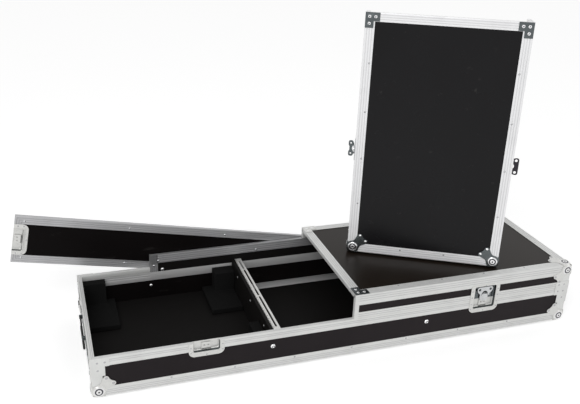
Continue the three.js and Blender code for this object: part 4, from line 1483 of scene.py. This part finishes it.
    def rear_insert(self) -> None:
        """The channel frame of the insert: two stiles and a head, with rivets on their inner faces."""
        half, top = self.insert_half, self.insert_top
        low = self.sill_top + 2 * CASE.seat
        outer_y, inner_y = CASE.side - CASE.seat, CASE.side - CASE.skin + CASE.seat
        middle, span = (outer_y + inner_y) / 2, (outer_y - inner_y) / 2
        shape = Shape()
        stile = clasp_profile(self.insert_stile, (-span, span), CASE.wall, self.insert_heel)
        for sign in BOTH:
            flipped = stile * np.array([1.0, sign, 1.0])
            x = sign * half
            shape.bar((x, middle, low), (x, middle, top), (-sign, 0, 0), (0, 1, 0), flipped)
        head = clasp_profile(self.insert_head, (-span, span), CASE.wall, self.insert_heel)
        reach = half - CASE.wall
        shape.bar((-reach, middle, top), (reach, middle, top), DOWN, (0, 1, 0), head)
        shape.paint = RIVET_PAINT
        for share in self.insert_rivets:
            shape.dome((share * half, inner_y, top - self.insert_rivet_in), (0, -1, 0), *BRIGHT_RIVET)
        for sign in BOTH:
            x = sign * (half - self.insert_stile / 2)
            shape.dome((x, inner_y, low + self.insert_rivet_in), (0, -1, 0), *BRIGHT_RIVET)
        # The insert takes the darker copy of the aluminium: painted shade.
        shape.build("rear_insert_channel", "base", "aluminium", SHADED_METALS, ["rear_insert_frame"])

    def heads(self) -> None:
        """Bright round bolt heads, the dividers' rivets and the knobs of the end walls."""
        face = CASE.side - CASE.wall
        hollow = CASE.side - CASE.skin + CASE.seat + CASE.wall
        rows = (
            (self.front_bolts, -face, -1, BOLT), (self.back_bolts, face, 1, LOW_BOLT),
            (self.wall_bolts, face - CASE.ply, -1, SMALL_BOLT), (self.insert_bolts, hollow, -1, SMALL_BOLT),
        )
        bolts, rivets, knobs = Shape(), Shape(), Shape()
        for sign in BOTH:
            for (x, z), y, out, size in rows:
                bolts.dome((sign * x, y, z), (0, out, 0), *size)
            x = sign * (self.bay_half + CASE.ply)
            for share in self.divider_rivets:
                place = (x, share * CASE.side, self.divider_rivet_z)
                rivets.dome(place, (sign, 0, 0), *DIVIDER_RIVET)
            knobs.dome((sign * (CASE.end - CASE.wall), *self.knob), (sign, 0, 0), *KNOB)
        bolts.build("panel_bolt_heads", "base", "zinc", (CHROME,))
        rivets.build("divider_rivet_heads", "base", "zinc", (RIVETS,))
        knobs.build("end_wall_knobs", "base", "zinc", (PALE,))

    def bay_strip(self) -> None:
        """A light flat strip on the mixer bay's floor, against the back wall."""
        back = CASE.side - CASE.skin - CASE.seat
        deep, thick = self.strip_deep, self.strip_thick
        flat = rounded([(0, 0), (0, thick), (deep, thick), (deep, 0)], 0.4, 3)
        shape = Shape()
        start, end = (-self.bay_half, back, CASE.ply), (self.bay_half, back, CASE.ply)
        shape.bar(start, end, (0, -1, 0), UP, flat)
        # The floor strip takes the darker copy of the aluminium: painted shade.
        shape.build("bay_floor_strip", "base", "aluminium", (SHADED_SILL,))

    def rails(self) -> None:
        """Slotted rack rails along the dividers: a top leg with slots and holes, and a side leg."""
        end = CASE.side - CASE.skin - CASE.seat
        near, far = self.rail_slot
        thick, outer, inner = self.rail_thick, self.bay_half, self.bay_half - self.rail_wide
        bridges = np.array(self.rail_bridge_shares) * CASE.side
        starts = np.concatenate([[self.rail_margin - end], bridges + self.rail_bridge / 2])
        stops = np.concatenate([bridges - self.rail_bridge / 2, [end - self.rail_margin]])
        side_leg = oblong((0, 0), (thick, self.rail_deep), 0.4, 3)
        ring = circle(self.rail_hole, 10)
        rows = np.arange(self.rail_hole_pitch - end, end - self.rail_hole, self.rail_hole_pitch)
        for side in Side:
            sign = side.value
            edge = oblong((inner * sign, -end), (outer * sign, end), 1.0, 4)
            slots = [
                oblong((near * sign, low), (far * sign, high), 3.0, 5) for low, high in zip(starts, stops)
            ]
            holes = [ring + np.array([sign * self.rail_hole_x, y]) for y in rows]
            points, faces = cut_sheet([edge, *slots, *holes], thick)
            shape = Shape()
            shape.add(points + np.array([0, 0, self.rail_top - thick]), faces)
            x = sign * outer
            shape.bar((x, -end, self.rail_top), (x, end, self.rail_top), (-sign, 0, 0), DOWN, side_leg)
            node = f"rack_rail_{side.word}"
            shape.build(f"{node}_slotted", "base", "aluminium", (RAIL,), [node])

    def corners(self) -> None:
        """The four ball corners under the tray."""
        for side in Side:
            for depth in Depth:
                node = f"base_ball_corner_{depth.word}_{side.word}"
                BallCorner().build(node, "base", (side.value, depth.value, -1), -CASE.wall, CORNER_METALS)

    def keepers(self) -> None:
        """The keeper pans at the front, mirrored down from the split, with their tabs."""
        for side in Side:
            shift = (side.value * CASE.latch_x, -CASE.side, CASE.split)
            place = Placement(((1, 0, 0), (0, 1, 0), DOWN), shift)
            keeper(Pan()).press(f"keeper_dish_front_{side.word}", "base", "zinc", PAN_METALS, place)

    def hardware(self) -> None:
        """The pieces whose solids only need their edges rounded."""
        for side in Side:
            word = side.word
            formed_copy(self.frame, f"keeper_plate_back_{word}", "base", ZINC, 0.4)
            formed_copy(self.frame, f"handle_plate_{word}", "base", STEEL, 0.5)
            formed_copy(self.frame, f"handle_grip_{word}", f"{word}_handle", GRIP, 1.0)
            for support in ("outer", "inner"):
                formed_copy(self.frame, f"support_{support}_{word}", "base", CARPET, 2.5)
        formed_copy(self.frame, "divider_block_left", "base", CARPET, 2.5)

    def build(self) -> None:
        """Makes every piece of the base."""
        self.edge_frame()
        self.rim_frame()
        self.sill()
        self.rear_insert()
        self.heads()
        self.bay_strip()
        self.rails()
        self.corners()
        self.keepers()
        self.hardware()


@dataclass
class HalfLid:
    """One half lid, drawn closed on the right half of the case and then put in its place."""

    frame: dict
    side: Side
    place: Placement | None = None
    face: float = 27.0
    end_leg: float = 14.0
    end_gap: float = 0.3
    wall_gap: float = 0.2
    wall_trim: float = 1.0
    notch_gap: float = 0.05
    rivet_pitch: float = 150.0
    rivet_inset: float = 22.0
    end_rivet_y: float = 70.0
    notch_x: float = 537.2
    notch_z: float = 169.5
    band: float = 22.0
    plate_leg: float = 26.0
    plate_long: float = 46.0
    plate_deep: float = 44.0
    plate_thick: float = 1.25
    ball_disc: float = 22.4
    front_pin: Triple = (450.0, -2.2, 15.5)
    back_pin: Triple = (424.0, 6.3, 63.5)
    top_flange: float = 36.0
    notched_flange: float = 33.0
    rim_flange: float = 21.0
    flange_lines: tuple[float, ...] = (0.2, 0.4, 0.6)
    rim_lines: Lines = ((0.3, 0.66), (0.35, 0.65))
    end_lines: tuple[float, ...] = (0.4,)

    @property
    def body(self) -> str:
        """The lid's body."""
        return f"{self.side.word}_lid"

    @property
    def standing(self) -> bool:
        """Whether this is the lid that stands, the left one."""
        return self.side is Side.LEFT

    def top_angles(self, shape: Shape) -> None:
        """The three top angles; the front one is shallower between the cuts of the latch.

        Its grooves keep their distance from the heel, so their shares grow by the ratio of the
        two depths.

        Args:
            shape: where they go.
        """
        end, side, top = CASE.end, CASE.side, CASE.top
        near, far = CASE.cut
        start, stop = self.end_gap, end - CASE.trim
        angle = angle_profile(CASE.flange, self.top_flange, CASE.wall, (THREE_LINES, self.flange_lines))
        shape.bar((start, side, top), (stop, side, top), (0, -1, 0), DOWN, angle)
        lines = tuple(share * self.top_flange / self.notched_flange for share in self.flange_lines)
        notched = angle_profile(CASE.flange, self.notched_flange, CASE.wall, (THREE_LINES, lines))
        gap = self.notch_gap
        for first, last, profile in (
            (start, near, angle), (near + gap, far - gap, notched), (far, stop, angle)
        ):
            shape.bar((first, -side, top), (last, -side, top), (0, 1, 0), DOWN, profile)
        shape.bar((end, CASE.trim - side, top), (end, side - CASE.trim, top), (-1, 0, 0), DOWN, angle)

    def end_channels(self, shape: Shape) -> None:
        """The channels round the open inner end: over the top panel and over both walls.

        Args:
            shape: where they go.
        """
        reach, wall_y = CASE.side - self.end_gap, CASE.side - self.wall_gap
        top, high = CASE.top, CASE.top - self.wall_trim
        inner = channel_profile(self.face, self.end_leg, (self.end_lines, THREE_LINES))
        shape.bar((0, -reach, top), (0, reach, top), DOWN, (1, 0, 0), inner)
        wall = channel_profile(self.end_leg, self.end_leg, (self.end_lines, ()))
        shape.bar((0, -wall_y, CASE.split), (0, -wall_y, high), (0, 1, 0), (1, 0, 0), wall)
        shape.bar((0, wall_y, self.notch_z), (0, wall_y, high), (0, -1, 0), (1, 0, 0), wall)

    def rim(self, shape: Shape) -> None:
        """The rim channel, its inner lip behind the latch, and the upright angles with braces.

        Args:
            shape: where they go.
        """
        end, side, low = CASE.end, CASE.side, CASE.split
        near, far = CASE.cut
        rim = channel_profile(self.rim_flange, CASE.lip, self.rim_lines)
        shape.run([(self.end_gap, -side, low), (near, -side, low)], UP, rim)
        round_end = [(far, -side, low), (end, -side, low), (end, side, low), (self.notch_x, side, low)]
        shape.run(round_end, UP, rim)
        inner = -side + CASE.shell
        lip = oblong((0, 0), (CASE.wall, CASE.lip), 0.4, 3)
        shape.bar((near, inner, low), (far, inner, low), (0, 1, 0), UP, lip)
        upright = angle_profile(CASE.flange, CASE.flange, CASE.wall)
        foot, head = low + self.rim_flange, CASE.top - self.top_flange
        for sign in BOTH:
            y = sign * side
            shape.bar((end, y, foot), (end, y, head), (-1, 0, 0), (0, -sign, 0), upright)
            rivet_z = low + self.band / 2
            brace(shape, (1, sign), BRACE_LONG, (low, low + self.band), rivet_z, BRACE_RIVETS)

    def frame_piece(self) -> None:
        """Top angles, end channels, rim channel, upright angles, braces and rivets."""
        shape = Shape()
        self.top_angles(shape)
        self.end_channels(shape)
        self.rim(shape)
        shape.paint = RIVET_PAINT
        inset = CASE.side - self.rivet_inset
        for k in range(1, 5):
            for sign in BOTH:
                shape.dome((k * self.rivet_pitch, sign * inset, CASE.top), UP, *RIVET)
        for y in (-self.end_rivet_y, self.end_rivet_y):
            shape.dome((CASE.end - self.rivet_inset, y, CASE.top), UP, *RIVET)
        # The standing lid's profiles take the lighter copies of the aluminium: painted light.
        metals = LIT_METALS if self.standing else METALS
        name, node = f"{self.body}_profiles", f"{self.body}_frame"
        shape.build(name, self.body, "aluminium", metals, [node], self.place)

    def corners(self) -> None:
        """The two ball corners of the outer end."""
        # The standing lid's corners take finishes darkened as painted shade.
        finishes = STANDING_METALS if self.standing else CORNER_METALS
        for depth in Depth:
            node = f"{self.body}_ball_corner_{depth.word}"
            corner = BallCorner(disc=self.ball_disc)
            corner.build(node, self.body, (1, depth.value, 1), CASE.top + CASE.gap, finishes, self.place)

    def plate_rivets(self) -> None:
        """Three bright rivets on each steel plate over the inner mitres."""
        shape = Shape()
        half, far, deep = self.plate_leg / 2, self.plate_long - self.plate_leg / 2, self.plate_deep
        face = CASE.top + CASE.gap + self.plate_thick
        for sign in BOTH:
            for x, inset in ((half, half), (far, half), (half, deep - half)):
                shape.dome((x, sign * (CASE.side - inset), face), UP, *PLATE_RIVET)
        shape.build(f"{self.body}_plate_rivets", self.body, "zinc", (CHROME,), (), self.place)

    def latch_pan(self) -> None:
        """The upper half of the front latch pan."""
        shape = Shape()
        # The latch pan's floor is painted shade too.
        Pan(reach=55.5, deep=48.0, corner=12.0, rivet_heights=(12.0, 34.0), dark_floor=True).draw(shape)
        shift = (CASE.latch_x, -CASE.side - CASE.gap, CASE.split)
        shape.move(Placement(((1, 0, 0), (0, 1, 0), UP), shift))
        shape.press(f"{self.body}_latch_dish_front", self.body, "zinc", PAN_METALS, self.place)

    def hardware(self) -> None:
        """Plates and spindles with their edges rounded, and the wings."""
        body = self.body
        formed_copy(self.frame, f"{body}_latch_plate_back", body, ZINC, 0.4)
        for depth in Depth:
            where = depth.word
            finish = STEEL if self.standing or depth is Depth.FRONT else PALE
            formed_copy(self.frame, f"{body}_inner_plate_{where}", body, finish, 0.35)
            latch = f"{self.side.word}_{where}_latch"
            formed_copy(self.frame, f"{body}_latch_spindle_{where}", latch, ZINC, 0.4)
            self.wing(depth)

    def wing(self, depth: Depth) -> None:
        """A wing on its pin: flat against the wall on the closed lid, folded out on the standing one.

        Args:
            depth: at the front or at the back.
        """
        front = depth is Depth.FRONT
        along, out, up = self.front_pin if front else self.back_pin
        pin = (along, depth.value * (CASE.side + CASE.gap + out), CASE.split + up)
        shape = Shape()
        (FRONT_WING if front else BACK_WING).draw(shape)
        flat = ((1, 0, 0), (0, 1, 0), UP if front else DOWN)
        folded_out = ((1, 0, 0), UP, (0.0, depth.value, 0.0))
        shape.move(Placement(folded_out if self.standing else flat, pin))
        # The standing lid's wings take darker copies of the wings' zinc: painted shade.
        finish = (SHADED_WING if front else SHADED_ZINC) if self.standing else ZINC
        node = f"{self.body}_latch_wing_{depth.word}"
        shape.press(node, f"{self.side.word}_{depth.word}_wing", "steel", (finish,), self.place)

    def build(self) -> None:
        """Makes every piece of the lid."""
        self.frame_piece()
        self.corners()
        self.plate_rivets()
        self.latch_pan()
        self.hardware()


@dataclass(frozen=True)
class Stand:
    """How the left lid stands on the right one, on the balls of the model's corners.

    lean is in radians and yaw in degrees; inset is the balls' distance from the faces.
    """

    lean: float = 0.049
    yaw: float = 28.4
    foot: Pair = (296.0, -87.0)
    ball: float = 19.0
    inset: float = 13.6

    def placement(self) -> Placement:
        """Where the left lid stands, mirrored from the right one.

        Its length points up and leans back by lean, its outer face turns by yaw, and its balls
        rest on the lid below: a ball's lowest point lies its radius below the centre.

        Returns:
            The lid's placement.
        """
        turn = math.radians(self.yaw)
        upright, leant = math.cos(self.lean), math.sin(self.lean)
        outward = np.array([-math.sin(turn), -math.cos(turn), 0.0])
        up = np.array(UP)
        lengthwise = up * upright - outward * leant
        facing = outward * upright + up * leant
        low = self.ball - (self.inset - CASE.gap) * (upright - leant)
        foot = -CASE.end * lengthwise + CASE.top * facing
        height = CASE.top - CASE.wall - CASE.gap + CASE.seat + low
        shift = np.array([*self.foot, height]) - foot
        across = np.cross(facing, lengthwise)
        return Placement((tuple(lengthwise), tuple(across), tuple(facing)), tuple(shift), mirror=True)


@dataclass
class Cover:
    """The loose rear cover: its frame and the keeper pan at its left end."""

    long: float = 1072.0
    wide: float = 159.0
    band: float = 27.0
    turn: float = 10.9
    x: float = 86.3
    catch_out: float = 3.2
    drop: float = 5.3
    rivet_pitch: float = 323.0
    rivet_end: float = 29.0
    rivet_in: float = 17.0
    pan_depth: float = 8.0
    hole_half: float = 40.1
    heel: float = 1.2

    @property
    def place(self) -> Placement:
        """The board's own frame: turned about Y at its lower right corner.

        Returns:
            The placement.
        """
        turn = math.radians(self.turn)
        along = (math.cos(turn), 0.0, -math.sin(turn))
        high = (math.sin(turn), 0.0, math.cos(turn))
        y = CASE.side + self.catch_out + CASE.seat - CASE.wall
        return Placement((along, (0.0, 1.0, 0.0), high), (self.x, y, -CASE.wall - self.drop))

    def channel(self) -> None:
        """The frame: one length round the board, open at the keeper pan, with its rivets."""
        thick = CASE.skin - 2 * CASE.seat
        far, middle = -self.long, self.wide / 2
        profile = clasp_profile(self.band, (0, thick), CASE.wall - CASE.seat, self.heel)
        low_end, high_end = (far, 0, middle - self.hole_half), (far, 0, middle + self.hole_half)
        path = [low_end, (far, 0, 0), (0, 0, 0), (0, 0, self.wide), (far, 0, self.wide), high_end]
        points = np.asarray(path, float)
        shape = Shape()
        shape.sweep(points, mitres(plan_normals(points, (0, -1, 0))), (0, 1, 0), profile)
        shape.paint = RIVET_PAINT
        for k in range(4):
            x = self.rivet_end + k * self.rivet_pitch - self.long
            for z in (self.rivet_in, self.wide - self.rivet_in):
                shape.dome((x, 0, z), (0, -1, 0), *BRIGHT_RIVET)
        # The cover takes the darker copy of the aluminium: painted shade.
        shape.build("cover_channel", "cover", "aluminium", SHADED_METALS, ["cover_frame"], self.place)

    def build(self) -> None:
        """Makes the frame and the keeper pan, which is turned so that it reaches into the end."""
        self.channel()
        shape = keeper(Pan(depth=self.pan_depth))
        shift = (-self.long, -CASE.seat, self.wide / 2)
        shape.move(Placement(((0, 0, -1), (0, 1, 0), (1, 0, 0)), shift))
        shape.press("cover_end_dish", "cover", "zinc", PAN_METALS, self.place)


@dataclass
class Panels:
    """The boards that keep their solids and only get a finish."""

    frame: dict
    boards: tuple[str, ...] = (
        "base_front_panel", "base_end_panel_left", "base_end_panel_right",
        "right_lid_side_walls", "left_lid_side_walls",
    )
    shaded: tuple[str, ...] = ("base_back_panel", "cover_board")
    inner: tuple[str, ...] = ("base_floor_panel", "divider_left", "divider_right", "rear_insert_panel")
    closed: tuple[str, ...] = ("right_lid_top_panel",)
    standing: tuple[str, ...] = ("left_lid_top_panel",)

    def build(self) -> None:
        """Puts each finish into the boards' material slots."""
        groups = (
            # The back panel and the cover board take the darker laminate: painted shade.
            (self.boards, BOARD), (self.shaded, SHADED), (self.inner, INSIDE),
            # The closed lid's top takes the lighter laminate: painted light.
            (self.closed, LIT_LID_LAMINATE), (self.standing, GLOSS),
        )
        for names, finish in groups:
            for name in names:
                board = self.frame["nodes"][name].data
                board.materials.clear()
                board.materials.append(finish.material())
                LOG.info("%s: %s", name, finish.name)


def set_up(name: str, data: bpy.types.ID, columns: Sequence[Vec], place: Vec) -> bpy.types.Object:
    """Links a camera or a lamp.

    Args:
        name: its name.
        data: its data.
        columns: the directions of its own X, Y and Z.
        place: where it stands, in metres.

    Returns:
        The new object.
    """
    made = bpy.data.objects.new(name, data)
    bpy.context.scene.collection.objects.link(made)
    turned = np.eye(4)
    turned[:3, :3] = np.array(columns, float).T
    turned[:3, 3] = place
    made.matrix_world = Matrix(turned.tolist())
    return made


@dataclass(frozen=True)
class Lamp:
    """A square soft box that looks at a point; metres and watts."""

    name: str
    place: Vec
    aim: Vec
    size: float
    power: float

    def build(self) -> None:
        """Makes the lamp; its Z is the unit vector from the aim to its place, its X is level."""
        data = bpy.data.lights.new(self.name, "AREA")
        data.shape = "SQUARE"
        data.size = self.size
        data.energy = self.power
        back = unit(np.asarray(self.place, float) - np.asarray(self.aim, float))
        side = unit(np.cross(UP, back))
        set_up(self.name, data, (side, np.cross(back, side), back), self.place)


@dataclass
class Studio:
    """The camera, the lamps, the white world and the floor."""

    camera_at: Triple = (-830.9, -1977.0, 1323.65)
    right: Triple = (0.94744354, -0.31782713, 0.03656030)
    down: Triple = (-0.09438682, -0.38688449, -0.91728486)
    ahead: Triple = (0.30568262, 0.86562481, -0.39654991)
    lens: float = 46.165
    sensor: float = 36.0
    far_clip: float = 50.0
    ambient: float = 0.6
    floor_glow: float = 0.4
    floor_colour: tuple[float, float, float, float] = (0.93, 0.93, 0.93, 1)
    floor_reach: float = 14.0
    lamps: tuple[Lamp, ...] = (
        Lamp("key_box", (-1.9, -2.6, 2.7), (0.0, 0.0, 0.2), 2.2, 36.0),
        Lamp("fill_box", (2.6, -1.8, 2.4), (0.1, 0.0, 0.2), 2.6, 8.0),
    )

    def camera(self) -> None:
        """A camera at the photograph's place, with the photograph's axes."""
        data = bpy.data.cameras.new("photo_view")
        data.lens = self.lens
        data.sensor_width = self.sensor
        data.clip_end = self.far_clip
        columns = (self.right, -np.array(self.down), -np.array(self.ahead))
        place = np.array(self.camera_at) * MM
        bpy.context.scene.camera = set_up("photo_view", data, columns, place)

    def world(self) -> None:
        """White to camera, glossy and transmission rays, and plain ambient light to the rest."""
        world = bpy.data.worlds.new("studio")
        world.use_nodes = True
        bpy.context.scene.world = world
        shader = Shader(world.node_tree)
        strength = self.ambient + (1.0 - self.ambient) * self.seen_by(shader)
        sky = shader.node("ShaderNodeBackground", inputs={"Color": (1, 1, 1, 1), "Strength": strength})
        shader.node("ShaderNodeOutputWorld", inputs={"Surface": sky})

    @staticmethod
    def seen_by(shader: Shader) -> Sock:
        """Tells the rays to which the studio shows.

        Args:
            shader: the tree that asks.

        Returns:
            1 for camera, glossy and transmission rays, else 0.
        """
        kinds = ("Is Camera Ray", "Is Glossy Ray", "Is Transmission Ray")
        camera, glossy, through = (shader.node("ShaderNodeLightPath", out=kind) for kind in kinds)
        return camera.larger(glossy).larger(through)

    def floor(self, height: float) -> None:
        """A plain pale floor that keeps the soft shadow.

        Args:
            height: where it lies, in metres.
        """
        mesh = bpy.data.meshes.new("studio_floor")
        far = self.floor_reach
        corners = [(x, y, height) for x, y in ((-far, -far), (far, -far), (far, far), (-far, far))]
        mesh.from_pydata(corners, [], [(0, 1, 2, 3)])
        floor = bpy.data.objects.new("studio_floor", mesh)
        bpy.context.scene.collection.objects.link(floor)
        made = bpy.data.materials.new("studio_floor")
        made.use_nodes = True
        shader = Shader(made.node_tree)
        seen = self.seen_by(shader)
        paint = shader.node("ShaderNodeBsdfDiffuse", inputs={"Color": self.floor_colour})
        glow = shader.node("ShaderNodeEmission", inputs={"Strength": seen * self.floor_glow})
        both = shader.node("ShaderNodeAddShader", inputs={0: paint, 1: glow})
        shader.node("ShaderNodeOutputMaterial", inputs={"Surface": both})
        mesh.materials.append(made)
        floor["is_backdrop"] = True

    def build(self, floor_height: float) -> None:
        """Makes the camera, world, floor and lamps.

        Args:
            floor_height: the floor's height in metres.
        """
        self.camera()
        self.world()
        self.floor(floor_height)
        for lamp in self.lamps:
            lamp.build()
        bpy.context.scene.view_settings.view_transform = "Standard"


def main() -> None:
    """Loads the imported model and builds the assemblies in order."""
    logging.basicConfig(level=logging.INFO, format="%(message)s")
    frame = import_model()
    model_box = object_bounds()
    Studio().build(model_box[0][2])
    Panels(frame).build()
    Base(frame).build()
    HalfLid(frame, Side.RIGHT).build()
    HalfLid(frame, Side.LEFT, Stand().placement()).build()
    Cover().build()


if __name__ == "__main__":
    main()
